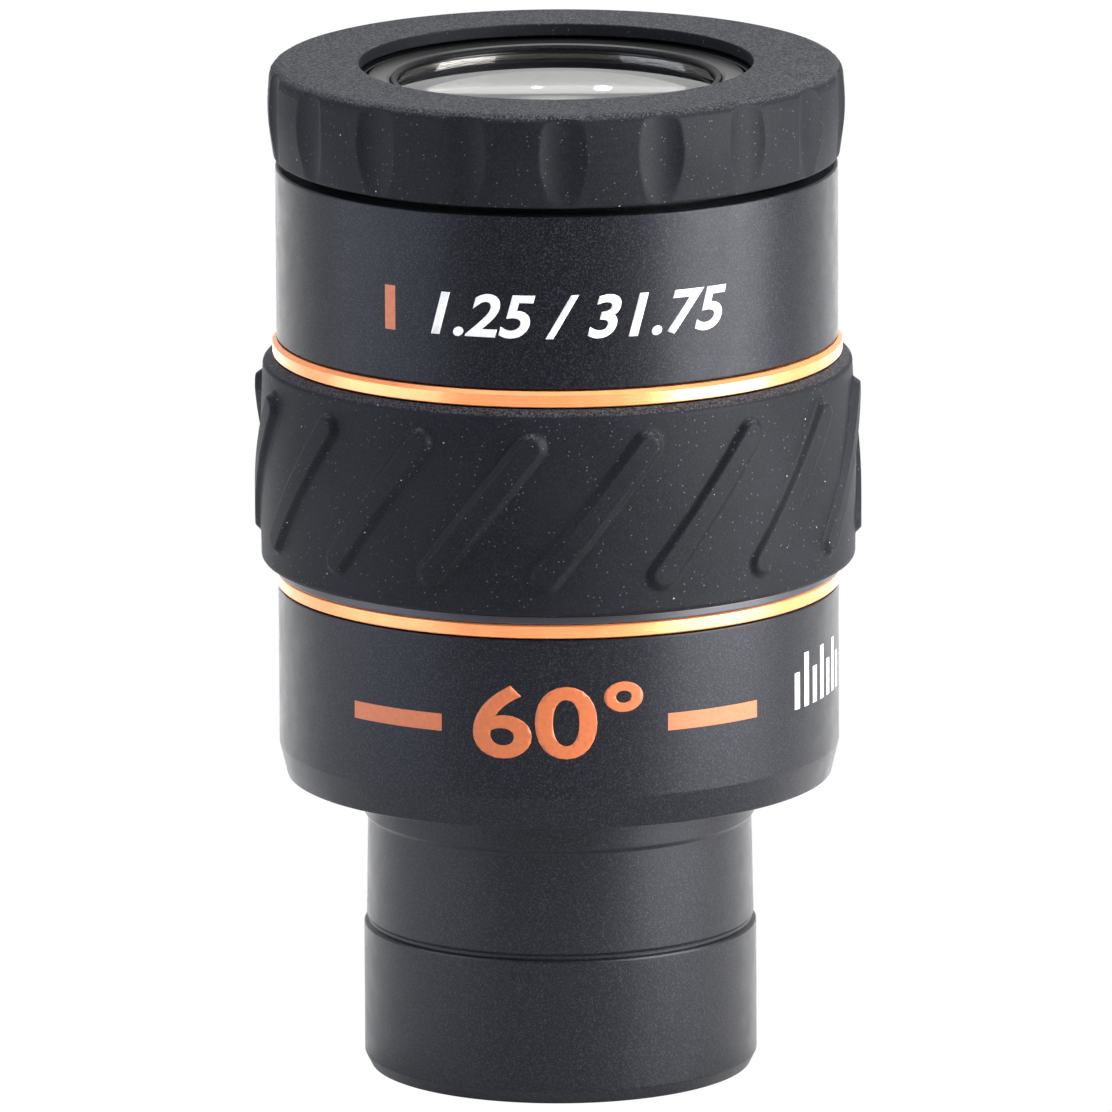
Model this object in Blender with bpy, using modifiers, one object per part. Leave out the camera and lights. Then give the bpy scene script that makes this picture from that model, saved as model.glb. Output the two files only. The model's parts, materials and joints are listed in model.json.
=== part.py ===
"""Telescope eyepiece with a 1.25 inch nosepiece and a twist-up rubber eyecup.

The optical axis is +Z and the nosepiece end is at z = 0. The front of the eyepiece faces -Y.
Lengths are written in millimetres and heights are measured from the nosepiece end.
"""

import math

import bmesh
import bpy
from mathutils import Matrix, Vector

MM = 0.001
OUTER_STEPS = 48
MIDDLE_STEPS = 36
INNER_STEPS = 24
RUBBER_STEPS = 72

# Clearances between neighbouring pieces.
FIT_GAP = 0.3
CEMENT_GAP = 0.15

# Small chamfers that break machined edges.
FINE_EDGE = 0.15

# Nosepiece, the standard 1.25 inch push-fit barrel.
NOSE_RADIUS = 31.75 / 2
NOSE_CHAMFER = 1.05
NOSE_CHAMFER_RADIUS = 15.35
NOSE_STEP_Z = 11.7
NECK_LOW_Z = 12.15
NECK_LOW_RADIUS = 15.66
NECK_HIGH_Z = 20.6
NECK_HIGH_RADIUS = 15.51
COLLAR_Z = 20.95
COLLAR_RADIUS = 15.8
COLLAR_SEAT_Z = 24.9
SPIGOT_RADIUS = 15.0
SPIGOT_TOP_Z = 30.0
FILTER_MOUTH_RADIUS = 14.7
FILTER_BORE_RADIUS = 14.1
FILTER_BORE_Z = 5.2
CELL_BORE_RADIUS = 13.95
CELL_LEDGE_Z = 20.5
LIGHT_BORE_RADIUS = 12.9
STOP_BORE_RADIUS = 13.9
STOP_LEDGE_Z = 27.5
LOCK_RING_RADIUS = 18.4
LOCK_RING_CHAMFER = 0.4

# Outer housing, from the bottom upwards.
HOUSING_RADIUS = 22.62
HOUSING_BORE_RADIUS = 20.9
LOWER_HOUSING_Z = 24.2
LOWER_RECESS_Z = 25.2
LOWER_BEVEL_RADIUS = 22.0
LOWER_BEVEL_Z = 26.8
LOWER_FLOOR_Z = 27.2
LOWER_HOUSING_TOP_Z = 39.8
LOWER_ACCENT_Z = 40.0
LOWER_ACCENT_TOP_Z = 41.0
LOWER_ACCENT_RADIUS = 22.75
CORE_FLANGE_Z = 41.2
CORE_FLANGE_TOP_Z = 41.75
CORE_FLANGE_RADIUS = 22.9
CORE_SPIGOT_Z = 33.0
CORE_SEAT_RADIUS = 22.4
CORE_BORE_RADIUS = 18.2
CORE_LEDGE_Z = 53.2
CORE_TOP_Z = 58.5
CUP_BORE_RADIUS = 20.7
GRIP_Z = 41.95
GRIP_TOP_Z = 58.65
GRIP_RADIUS = 24.05
GRIP_LOW_RADIUS = 23.95
GRIP_HIGH_RADIUS = 23.75
GRIP_TOP_RADIUS = 22.95
GRIP_INNER_RADIUS = 22.7
UPPER_ACCENT_Z = 58.85
UPPER_ACCENT_TOP_Z = 60.0
UPPER_ACCENT_RADIUS = 22.95
UPPER_ACCENT_CHAMFER = 0.3
UPPER_HOUSING_Z = 60.2
UPPER_FLOOR_Z = 61.4
UPPER_HOUSING_TOP_Z = 74.2
UPPER_HOUSING_CHAMFER = 0.2
HOUSING_SPIGOT_Z = 53.5
HOUSING_SPIGOT_RADIUS = 20.4
HOUSING_SPIGOT_BORE = 18.6

# Raised slanting ribs round the rubber grip.
RIB_COUNT = 16
RIB_LOW_Z = 45.05
RIB_HIGH_Z = 55.7
RIB_LOW_ANGLE = -2.5
RIB_LEAN_ANGLE = 19.9
RIB_WIDTH = 2.7
RIB_TOP_INSET = 0.3
RIB_RADIUS = 24.46
RIB_ROOT_RADIUS = 23.3

# Lens barrel and its optics.
BARREL_Z = 51.0
BARREL_TOP_Z = 81.1
BARREL_RADIUS = 17.35
BARREL_COLLAR_Z = 53.6
BARREL_COLLAR_TOP_Z = 59.5
BARREL_COLLAR_RADIUS = 18.3
LENS_LEDGE_Z = 57.3
LENS_LEDGE_BORE = 12.2
LENS_BORE_RADIUS = 13.9
RING_THREAD_Z = 79.0
RING_THREAD_RADIUS = 15.5
RING_RADIUS = 15.2
RING_INNER_RADIUS = 12.75
RING_LIP_Z = 80.75
RING_TOP_Z = 81.2
NOTCH_RADIUS = 14.6
NOTCH_SIZE = (2.0, 1.2, 1.2)

# Glass. Each surface is (height on the axis, radius of curvature) and flats are a height.
# A positive curve falls away from its apex and a negative one rises.
LENS_RADIUS = 13.6
EYE_LENS_TOP = (81.0, 150.0)
EYE_LENS_FLAT_Z = 75.8
CROWN_TOP = (75.1, 40.0)
EYE_CEMENT = (66.6, -22.0)
FLINT_FLAT_Z = 64.2
SINGLET_TOP = (62.8, 60.0)
SINGLET_FLAT_Z = 57.6
FIELD_LENS_RADIUS = 12.2
FIELD_TOP = (17.2, -45.0)
FIELD_CEMENT = (14.6, 30.0)
FIELD_FLAT_Z = 10.6

# Spacers and rings between the lenses, each (bore radius, bottom, top).
UPPER_SPACER = (12.6, 73.4, 75.5)
MIDDLE_SPACER = (12.4, 61.8, 63.9)
FIELD_RING = (11.3, 9.0, 10.3)

# Field lens cell, field stop and glare baffle inside the lower half.
CELL_Z = 8.8
CELL_SHOULDER_Z = 19.2
CELL_LIP_RADIUS = 11.4
FIELD_STOP_TOP_Z = 29.6
FIELD_STOP_RADIUS = 9.2
FIELD_STOP_BACK_RADIUS = 12.0
STOP_EDGE = 0.2
BAFFLE_Z = 42.0
BAFFLE_TOP_Z = 44.6
BAFFLE_ROOT_Z = 43.2
BAFFLE_ROOT_RADIUS = 16.6
BAFFLE_HOLE_RADIUS = 12.0

# Guide pins, their helical grooves, and the travel of the eyecup.
EYECUP_RISE = 7.0
EYECUP_TURN = 105.0
PIN_ANGLES = (90.0, 210.0, 330.0)
PIN_Z = 72.2
PIN_RADIUS = 0.9
PIN_START_RADIUS = 14.4
PIN_BALL_RADIUS = 17.7
PIN_HOLE_RADIUS = 1.2
PIN_HOLE_REACH = (13.0, 18.5)
GROOVE_RADIUS = 1.2
GROOVE_POINTS = 15
GROOVE_OVERRUN = 0.038

# Set screws that lock the grip core to the upper housing.
SCREW_ANGLES = (30.0, 150.0, 270.0)
SCREW_Z = 56.0
SCREW_RADIUS = 1.0
SCREW_HOLE_RADIUS = 1.3
SCREW_START_RADIUS = 20.7
SCREW_LENGTH = 1.5
SCREW_HOLE_REACH = (19.5, 24.0)
SCREW_SOCKET_RADIUS = 0.5
SCREW_SOCKET_DEPTH = 0.8
SCREW_CONE = 0.4
SCREW_EDGE = 0.1

# Twist-up eyecup: sleeve, carrier, rubber and friction ring.
SLEEVE_Z = 61.7
SLEEVE_TOP_Z = 80.9
SLEEVE_BORE_RADIUS = 17.7
SLEEVE_RADIUS = 19.6
ORING_Z = 62.95
ORING_MAJOR = 19.82
ORING_MINOR = 0.6
ORING_GROOVE_HALF = 0.75
ORING_GROOVE_RADIUS = 18.95
CARRIER_Z = 75.1
CARRIER_TOP_Z = 81.1
CARRIER_BORE_RADIUS = 19.9
CARRIER_RADIUS = 21.5
CARRIER_GROOVE_RADIUS = 21.0
CUP_Z = 74.85
CUP_TOP_Z = 82.4
CUP_WEB_Z = 81.4
CUP_INNER_RADIUS = 21.8
CUP_BEAD_RADIUS = 21.3
CUP_BEAD_Z = (77.3, 78.3)
CUP_HOLE_RADIUS = 15.85
CUP_RADIUS = 23.18
CUP_WAIST_Z = 78.6
CUP_BARREL_CURVE = 18.3
CUP_ROUND = 0.5
CUP_FOOT_RADIUS = 22.4
CUP_MOUTH_EDGE = 0.1
FLUTE_COUNT = 18
FLUTE_FIRST_ANGLE = 1.25
FLUTE_RADIUS = 4.25
FLUTE_DEPTH = 0.5
FLUTE_LENGTH = 12.0


def clear_scene():
    for old in list(bpy.data.objects):
        bpy.data.objects.remove(old, do_unlink=True)


def new_collection(name):
    collection = bpy.data.collections.new(name)
    bpy.context.scene.collection.children.link(collection)
    return collection


def new_material(name, colour, roughness, metallic=0.0, transmission=0.0):
    material = bpy.data.materials.new(name)
    material.use_nodes = True
    material.diffuse_color = (*colour, 1.0)
    shader = material.node_tree.nodes["Principled BSDF"]
    shader.inputs["Base Color"].default_value = (*colour, 1.0)
    shader.inputs["Roughness"].default_value = roughness
    shader.inputs["Metallic"].default_value = metallic
    shader.inputs["Transmission Weight"].default_value = transmission
    return material


def facing(angle, radius, height):
    """A point round the axis, in metres. Angle 0 faces the front (-Y) and grows towards +X."""
    turn = math.radians(angle)
    return Vector((radius * math.sin(turn), -radius * math.cos(turn), height)) * MM


def arc(centre, radius, start, end, count):
    """Points on an arc in the (radius, height) plane, from start to end degrees."""
    turns = [math.radians(start + (end - start) * i / count) for i in range(count + 1)]
    return [(centre[0] + radius * math.cos(t), centre[1] + radius * math.sin(t)) for t in turns]


def sag(curve, radius):
    """How far a spherical surface falls away from its apex at this distance from the axis."""
    return abs(curve) - math.sqrt(curve * curve - radius * radius)


def dome(surface, edge_radius, rings=5):
    """Points of a lens surface (apex, curve) from the axis outwards."""
    apex, curve = surface
    radii = [edge_radius * i / rings for i in range(rings + 1)]
    return [(r, apex - math.copysign(sag(curve, r), curve)) for r in radii]


def mesh_object(name, mesh, collection, material=None):
    obj = bpy.data.objects.new(name, mesh)
    collection.objects.link(obj)
    if material:
        mesh.materials.append(material)
    return obj


def turned(name, profile, collection, material, steps=OUTER_STEPS):
    """A body of revolution. The profile is a closed loop, or an open line that starts and ends on the axis."""
    on_axis = profile[0][0] == 0 and profile[-1][0] == 0
    ends = profile[1:] + profile[:1]
    area = sum(a[0] * b[1] - b[0] * a[1] for a, b in zip(profile, ends))
    points = profile if area < 0 else profile[::-1]
    mesh = bpy.data.meshes.new(name)
    edges = [(i, i + 1) for i in range(len(points) - 1)]
    if not on_axis:
        edges.append((len(points) - 1, 0))
    mesh.from_pydata([(r * MM, 0, z * MM) for r, z in points], edges, [])
    obj = mesh_object(name, mesh, collection, material)
    screw = obj.modifiers.new("turn", "SCREW")
    screw.axis = "Z"
    screw.angle = math.tau
    screw.steps = steps
    screw.render_steps = steps
    screw.use_merge_vertices = True
    screw.merge_threshold = 1e-6
    return obj


def cutter_from(name, bm):
    mesh = bpy.data.meshes.new(name)
    bm.to_mesh(mesh)
    bm.free()
    obj = mesh_object(name, mesh, cutters)
    obj.hide_render = True
    obj.display_type = "WIRE"
    return obj


def boolean(obj, operation, other):
    modifier = obj.modifiers.new(other.name, "BOOLEAN")
    modifier.operation = operation
    modifier.solver = "EXACT"
    modifier.object = other


def radial_cylinders(name, angles, height, radius, reach, segments=16):
    """Round cutters that lie along the radius at each angle, from one distance to the other."""
    inner, outer = reach
    bm = bmesh.new()
    for angle in angles:
        lie = Matrix.Rotation(math.radians(90), 4, "Y")
        spin = Matrix.Rotation(math.radians(angle), 4, "Z")
        place = Matrix.Translation((0, 0, height * MM))
        shift = Matrix.Translation(((inner + outer) / 2 * MM, 0, 0))
        bmesh.ops.create_cone(
            bm,
            cap_ends=True,
            segments=segments,
            radius1=radius * MM,
            radius2=radius * MM,
            depth=(outer - inner) * MM,
            matrix=place @ spin @ shift @ lie,
        )
    return cutter_from(name, bm)


def place_radially(obj, angle, radius, height):
    """Turns a piece made along its own Z so that it points outwards at this angle."""
    obj.rotation_euler = (0, math.radians(90), math.radians(angle))
    turn = math.radians(angle)
    obj.location = (radius * math.cos(turn) * MM, radius * math.sin(turn) * MM, height * MM)


def smooth(obj):
    """Smooth shading whose normals follow the larger faces, so that chamfered edges stay crisp."""
    for modifier in obj.modifiers:
        if modifier.type == "SCREW":
            modifier.use_smooth_shade = True
    obj.modifiers.new("crisp_normals", "WEIGHTED_NORMAL")


def make_nosepiece():
    profile = [
        (STOP_BORE_RADIUS, SPIGOT_TOP_Z),
        (SPIGOT_RADIUS, SPIGOT_TOP_Z),
        (SPIGOT_RADIUS, COLLAR_SEAT_Z),
        (COLLAR_RADIUS, COLLAR_SEAT_Z),
        (COLLAR_RADIUS, COLLAR_Z),
        (NECK_HIGH_RADIUS, NECK_HIGH_Z),
        (NECK_LOW_RADIUS, NECK_LOW_Z),
        (NOSE_RADIUS, NOSE_STEP_Z),
        (NOSE_RADIUS, NOSE_CHAMFER),
        (NOSE_CHAMFER_RADIUS, 0),
        (FILTER_MOUTH_RADIUS, 0),
        (FILTER_BORE_RADIUS, FILTER_MOUTH_RADIUS - FILTER_BORE_RADIUS),
        (FILTER_BORE_RADIUS, FILTER_BORE_Z),
        (CELL_BORE_RADIUS, FILTER_BORE_Z + FINE_EDGE),
        (CELL_BORE_RADIUS, CELL_LEDGE_Z),
        (LIGHT_BORE_RADIUS, CELL_LEDGE_Z),
        (LIGHT_BORE_RADIUS, STOP_LEDGE_Z),
        (STOP_BORE_RADIUS, STOP_LEDGE_Z),
    ]
    return turned("nosepiece", profile, parts, black)


def make_nosepiece_lock_ring():
    low, high = LOWER_FLOOR_Z + FIT_GAP, SPIGOT_TOP_Z
    inner, outer, edge = SPIGOT_RADIUS + FIT_GAP, LOCK_RING_RADIUS, LOCK_RING_CHAMFER
    profile = [(inner, high), (outer - edge, high), (outer, high - edge), (outer, low), (inner, low)]
    return turned("nosepiece_lock_ring", profile, parts, black_matte, INNER_STEPS)


def make_lower_housing():
    hole = SPIGOT_RADIUS + FIT_GAP
    recess = COLLAR_RADIUS + FIT_GAP
    profile = [
        (HOUSING_BORE_RADIUS, LOWER_HOUSING_TOP_Z),
        (HOUSING_RADIUS, LOWER_HOUSING_TOP_Z),
        (HOUSING_RADIUS, LOWER_BEVEL_Z),
        (LOWER_BEVEL_RADIUS, LOWER_HOUSING_Z),
        (recess, LOWER_HOUSING_Z),
        (recess, LOWER_RECESS_Z),
        (hole, LOWER_RECESS_Z),
        (hole, LOWER_FLOOR_Z),
        (HOUSING_BORE_RADIUS, LOWER_FLOOR_Z),
    ]
    return turned("lower_housing", profile, parts, black)


def make_lower_accent_ring():
    low, high, edge = LOWER_ACCENT_Z, LOWER_ACCENT_TOP_Z, FINE_EDGE
    profile = [
        (HOUSING_BORE_RADIUS, high),
        (LOWER_ACCENT_RADIUS - edge, high),
        (LOWER_ACCENT_RADIUS, high - edge),
        (LOWER_ACCENT_RADIUS, low + edge),
        (LOWER_ACCENT_RADIUS - edge, low),
        (HOUSING_BORE_RADIUS, low),
    ]
    return turned("lower_accent_ring", profile, parts, orange)


def make_grip_core():
    spigot = HOUSING_BORE_RADIUS - FIT_GAP
    profile = [
        (CUP_BORE_RADIUS, CORE_TOP_Z),
        (CORE_SEAT_RADIUS, CORE_TOP_Z),
        (CORE_SEAT_RADIUS, CORE_FLANGE_TOP_Z),
        (CORE_FLANGE_RADIUS, CORE_FLANGE_TOP_Z),
        (CORE_FLANGE_RADIUS, CORE_FLANGE_Z),
        (spigot, CORE_FLANGE_Z),
        (spigot, CORE_SPIGOT_Z),
        (CORE_BORE_RADIUS, CORE_SPIGOT_Z),
        (CORE_BORE_RADIUS, CORE_LEDGE_Z),
        (CUP_BORE_RADIUS, CORE_LEDGE_Z),
    ]
    core = turned("grip_core", profile, parts, black)
    holes = radial_cylinders("set_screw_holes", SCREW_ANGLES, SCREW_Z, SCREW_HOLE_RADIUS, SCREW_HOLE_REACH)
    boolean(core, "DIFFERENCE", holes)
    return core


def make_set_screw(number, angle):
    profile = [
        (0, SCREW_LENGTH),
        (SCREW_RADIUS - SCREW_EDGE, SCREW_LENGTH),
        (SCREW_RADIUS, SCREW_LENGTH - SCREW_EDGE),
        (SCREW_RADIUS, SCREW_CONE),
        (SCREW_RADIUS - SCREW_CONE, 0),
        (0, 0),
    ]
    screw = turned(f"set_screw_{number}", profile, parts, steel, 12)
    bm = bmesh.new()
    bmesh.ops.create_cone(
        bm,
        cap_ends=True,
        segments=6,
        radius1=SCREW_SOCKET_RADIUS * MM,
        radius2=SCREW_SOCKET_RADIUS * MM,
        depth=2 * SCREW_SOCKET_DEPTH * MM,
        matrix=Matrix.Translation((0, 0, SCREW_LENGTH * MM)),
    )
    socket = cutter_from(f"set_screw_socket_{number}", bm)
    boolean(screw, "DIFFERENCE", socket)
    for obj in (screw, socket):
        place_radially(obj, angle, SCREW_START_RADIUS, SCREW_Z)
    return screw


def make_rib(bm, angle):
    """One raised capsule, bent round the grip and leaning to the right at its top."""
    rib = bmesh.new()
    length = math.hypot(math.radians(RIB_LEAN_ANGLE) * GRIP_RADIUS, RIB_HIGH_Z - RIB_LOW_Z)
    lean = math.atan2(math.radians(RIB_LEAN_ANGLE) * GRIP_RADIUS, RIB_HIGH_Z - RIB_LOW_Z)
    depth = RIB_RADIUS - RIB_ROOT_RADIUS
    bmesh.ops.create_cube(rib, size=1.0)
    bmesh.ops.scale(rib, vec=(RIB_WIDTH, depth, length + RIB_WIDTH), verts=rib.verts)
    corners = [e for e in rib.edges if abs(e.verts[0].co.y - e.verts[1].co.y) > depth / 2]
    bmesh.ops.bevel(rib, geom=corners, offset=RIB_WIDTH * 0.499, segments=4, profile=0.5, affect="EDGES")
    for share in (-0.5, -0.25, 0.0, 0.25, 0.5):
        geometry = rib.verts[:] + rib.edges[:] + rib.faces[:]
        cut = Vector((0, 0, share * length))
        bmesh.ops.bisect_plane(rib, geom=geometry, dist=1e-5, plane_co=cut, plane_no=(0, 0, 1))
    for vert in rib.verts:
        spine = Vector((0, vert.co.y, max(-length / 2, min(length / 2, vert.co.z))))
        if vert.co.y < 0:
            vert.co = spine + (vert.co - spine) * (1 - 2 * RIB_TOP_INSET / RIB_WIDTH)
    bmesh.ops.rotate(rib, matrix=Matrix.Rotation(lean, 3, "Y"), verts=rib.verts)
    middle_angle = angle + RIB_LEAN_ANGLE / 2
    middle_z = (RIB_LOW_Z + RIB_HIGH_Z) / 2
    middle_radius = (RIB_RADIUS + RIB_ROOT_RADIUS) / 2
    for vert in rib.verts:
        around = middle_angle + math.degrees(vert.co.x / GRIP_RADIUS)
        vert.co = facing(around, middle_radius - vert.co.y, middle_z + vert.co.z)
    bmesh.ops.recalc_face_normals(rib, faces=rib.faces)
    mesh = bpy.data.meshes.new("rib")
    rib.to_mesh(mesh)
    rib.free()
    bm.from_mesh(mesh)
    bpy.data.meshes.remove(mesh)


def make_grip_band():
    profile = [
        (GRIP_INNER_RADIUS, GRIP_TOP_Z),
        (GRIP_TOP_RADIUS, GRIP_TOP_Z),
        (GRIP_HIGH_RADIUS - 0.2, GRIP_TOP_Z - 0.25),
        (GRIP_HIGH_RADIUS, GRIP_TOP_Z - 0.8),
        (GRIP_RADIUS, (GRIP_Z + GRIP_TOP_Z) / 2),
        (GRIP_LOW_RADIUS, GRIP_Z + 0.5),
        (GRIP_LOW_RADIUS - 0.3, GRIP_Z),
        (GRIP_INNER_RADIUS, GRIP_Z),
    ]
    band = turned("grip_band", profile, parts, rubber)
    bm = bmesh.new()
    for number in range(RIB_COUNT):
        make_rib(bm, RIB_LOW_ANGLE + number * 360 / RIB_COUNT)
    boolean(band, "UNION", cutter_from("grip_ribs", bm))
    return band


def make_upper_accent_ring():
    low, high, edge, foot = UPPER_ACCENT_Z, UPPER_ACCENT_TOP_Z, UPPER_ACCENT_CHAMFER, 0.1
    profile = [
        (CUP_BORE_RADIUS, high),
        (UPPER_ACCENT_RADIUS - edge, high),
        (UPPER_ACCENT_RADIUS, high - edge),
        (UPPER_ACCENT_RADIUS, low + foot),
        (UPPER_ACCENT_RADIUS - foot, low),
        (CUP_BORE_RADIUS, low),
    ]
    return turned("upper_accent_ring", profile, parts, orange)


def make_upper_housing():
    edge = UPPER_HOUSING_CHAMFER
    profile = [
        (CUP_BORE_RADIUS, UPPER_HOUSING_TOP_Z),
        (HOUSING_RADIUS - edge, UPPER_HOUSING_TOP_Z),
        (HOUSING_RADIUS, UPPER_HOUSING_TOP_Z - edge),
        (HOUSING_RADIUS, UPPER_HOUSING_Z),
        (HOUSING_SPIGOT_RADIUS, UPPER_HOUSING_Z),
        (HOUSING_SPIGOT_RADIUS, HOUSING_SPIGOT_Z),
        (HOUSING_SPIGOT_BORE, HOUSING_SPIGOT_Z),
        (HOUSING_SPIGOT_BORE, UPPER_FLOOR_Z),
        (CUP_BORE_RADIUS, UPPER_FLOOR_Z),
    ]
    return turned("upper_housing", profile, parts, black)


def make_lens_barrel():
    profile = [
        (RING_THREAD_RADIUS, BARREL_TOP_Z),
        (BARREL_RADIUS, BARREL_TOP_Z),
        (BARREL_RADIUS, BARREL_COLLAR_TOP_Z),
        (BARREL_COLLAR_RADIUS, BARREL_COLLAR_TOP_Z),
        (BARREL_COLLAR_RADIUS, BARREL_COLLAR_Z),
        (BARREL_RADIUS, BARREL_COLLAR_Z),
        (BARREL_RADIUS, BARREL_Z),
        (LENS_LEDGE_BORE, BARREL_Z),
        (LENS_LEDGE_BORE, LENS_LEDGE_Z),
        (LENS_BORE_RADIUS, LENS_LEDGE_Z),
        (LENS_BORE_RADIUS, RING_THREAD_Z),
        (RING_THREAD_RADIUS, RING_THREAD_Z),
    ]
    barrel = turned("lens_barrel", profile, parts, black_matte, MIDDLE_STEPS)
    holes = radial_cylinders("guide_pin_holes", PIN_ANGLES, PIN_Z, PIN_HOLE_RADIUS, PIN_HOLE_REACH)
    boolean(barrel, "DIFFERENCE", holes)
    return barrel


def make_lens_retaining_ring():
    edge = FINE_EDGE
    profile = [
        (RING_INNER_RADIUS, RING_TOP_Z - edge),
        (RING_INNER_RADIUS + edge, RING_TOP_Z),
        (RING_RADIUS - edge, RING_TOP_Z),
        (RING_RADIUS, RING_TOP_Z - edge),
        (RING_RADIUS, RING_THREAD_Z + FIT_GAP),
        (LENS_BORE_RADIUS, RING_THREAD_Z + FIT_GAP),
        (LENS_BORE_RADIUS, RING_LIP_Z),
        (RING_INNER_RADIUS, RING_LIP_Z),
    ]
    ring = turned("lens_retaining_ring", profile, parts, satin_aluminium)
    bm = bmesh.new()
    for side in (-1, 1):
        place = Matrix.Translation((side * NOTCH_RADIUS * MM, 0, RING_TOP_Z * MM))
        size = Matrix.Diagonal((*[length * MM for length in NOTCH_SIZE], 1.0))
        bmesh.ops.create_cube(bm, size=1.0, matrix=place @ size)
    boolean(ring, "DIFFERENCE", cutter_from("spanner_notches", bm))
    return ring


def lens(name, top, bottom, steps=INNER_STEPS):
    """A glass element between two surfaces, each a list of points from the axis outwards."""
    return turned(name, top + bottom[::-1], parts, glass, steps)


def flat(height, radius):
    return [(0, height), (radius, height)]


def make_eye_optics():
    """Eye lens, cemented doublet and inner singlet, with the spacers that set their distances."""
    cement_apex, cement_curve = EYE_CEMENT
    crown_bottom = dome(EYE_CEMENT, LENS_RADIUS)
    flint_top = dome((cement_apex - CEMENT_GAP, cement_curve), LENS_RADIUS)
    lens("eye_lens", dome(EYE_LENS_TOP, LENS_RADIUS), flat(EYE_LENS_FLAT_Z, LENS_RADIUS), OUTER_STEPS)
    spacer("upper_spacer_ring", UPPER_SPACER, LENS_RADIUS)
    lens("eye_doublet_crown", dome(CROWN_TOP, LENS_RADIUS), crown_bottom)
    lens("eye_doublet_flint", flint_top, flat(FLINT_FLAT_Z, LENS_RADIUS))
    spacer("middle_spacer_ring", MIDDLE_SPACER, LENS_RADIUS)
    lens("inner_singlet", dome(SINGLET_TOP, LENS_RADIUS), flat(SINGLET_FLAT_Z, LENS_RADIUS))


def spacer(name, size, outer):
    """A plain ring between two lenses. Its size is (bore radius, bottom, top)."""
    inner, low, high = size
    profile = [(inner, high), (outer, high), (outer, low), (inner, low)]
    return turned(name, profile, parts, black_matte, INNER_STEPS)


def make_glare_baffle():
    outer = CORE_BORE_RADIUS - FIT_GAP
    profile = [
        (BAFFLE_ROOT_RADIUS, BAFFLE_TOP_Z),
        (outer, BAFFLE_TOP_Z),
        (outer, BAFFLE_Z),
        (BAFFLE_HOLE_RADIUS + STOP_EDGE, BAFFLE_Z),
        (BAFFLE_HOLE_RADIUS, BAFFLE_Z + FIT_GAP),
        (BAFFLE_ROOT_RADIUS, BAFFLE_ROOT_Z),
    ]
    return turned("glare_baffle", profile, parts, black_matte, INNER_STEPS)


def make_field_stop():
    low, high = STOP_LEDGE_Z + FIT_GAP, FIELD_STOP_TOP_Z
    profile = [
        (FIELD_STOP_BACK_RADIUS, high),
        (LENS_RADIUS, high),
        (LENS_RADIUS, low),
        (FIELD_STOP_RADIUS, low),
        (FIELD_STOP_RADIUS, low + STOP_EDGE),
    ]
    return turned("field_stop", profile, parts, black_matte, INNER_STEPS)


def make_field_optics():
    """Cell near the open end of the nosepiece, which carries a cemented doublet."""
    outer, inner = CELL_BORE_RADIUS - FIT_GAP, FIELD_LENS_RADIUS + FIT_GAP
    high = CELL_LEDGE_Z - FIT_GAP
    cell = [
        (CELL_LIP_RADIUS, high),
        (outer, high),
        (outer, CELL_Z),
        (inner, CELL_Z),
        (inner, CELL_SHOULDER_Z),
        (CELL_LIP_RADIUS, CELL_SHOULDER_Z),
    ]
    cement_apex, cement_curve = FIELD_CEMENT
    inner_bottom = dome((cement_apex + CEMENT_GAP, cement_curve), FIELD_LENS_RADIUS)
    outer_top = dome(FIELD_CEMENT, FIELD_LENS_RADIUS)
    turned("field_lens_cell", cell, parts, black_matte, INNER_STEPS)
    lens("field_doublet_inner", dome(FIELD_TOP, FIELD_LENS_RADIUS), inner_bottom)
    lens("field_doublet_outer", outer_top, flat(FIELD_FLAT_Z, FIELD_LENS_RADIUS))
    spacer("field_lens_retaining_ring", FIELD_RING, FIELD_LENS_RADIUS)


def make_guide_pin(number, angle):
    """A ball-ended pin, pressed into the lens barrel, that runs in one groove of the sleeve."""
    length = PIN_BALL_RADIUS - PIN_START_RADIUS
    tip = arc((0, length), PIN_RADIUS, 90, 0, 3)
    tip[0] = (0, length + PIN_RADIUS)
    profile = tip + [(PIN_RADIUS, 0), (0, 0)]
    pin = turned(f"guide_pin_{number}", profile, parts, steel, 12)
    place_radially(pin, angle, PIN_START_RADIUS, PIN_Z)
    return pin


def make_friction_ring():
    centre = (ORING_MAJOR, ORING_Z)
    profile = arc(centre, ORING_MINOR, 0, 360, 8)[:-1]
    return turned("sleeve_friction_ring", profile, parts, rubber, MIDDLE_STEPS)


def helical_groove(name, start_angle):
    """A round-bottomed groove that falls as it goes back round the sleeve."""
    curve = bpy.data.curves.new(name, "CURVE")
    curve.dimensions = "3D"
    curve.bevel_depth = GROOVE_RADIUS * MM
    curve.bevel_resolution = 2
    curve.use_fill_caps = True
    spline = curve.splines.new("POLY")
    spline.points.add(GROOVE_POINTS - 1)
    for i, point in enumerate(spline.points):
        share = i / (GROOVE_POINTS - 1) * (1 + 2 * GROOVE_OVERRUN) - GROOVE_OVERRUN
        turn = math.radians(start_angle - share * EYECUP_TURN)
        height = PIN_Z - share * EYECUP_RISE
        x, y = PIN_BALL_RADIUS * math.cos(turn), PIN_BALL_RADIUS * math.sin(turn)
        point.co = (x * MM, y * MM, height * MM, 1)
    wire = bpy.data.objects.new(name, curve)
    cutters.objects.link(wire)
    bm = bmesh.new()
    bm.from_mesh(bpy.data.meshes.new_from_object(wire))
    bpy.data.objects.remove(wire)
    bmesh.ops.remove_doubles(bm, verts=bm.verts, dist=1e-7)
    bmesh.ops.recalc_face_normals(bm, faces=bm.faces)
    return cutter_from(name, bm)


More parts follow.
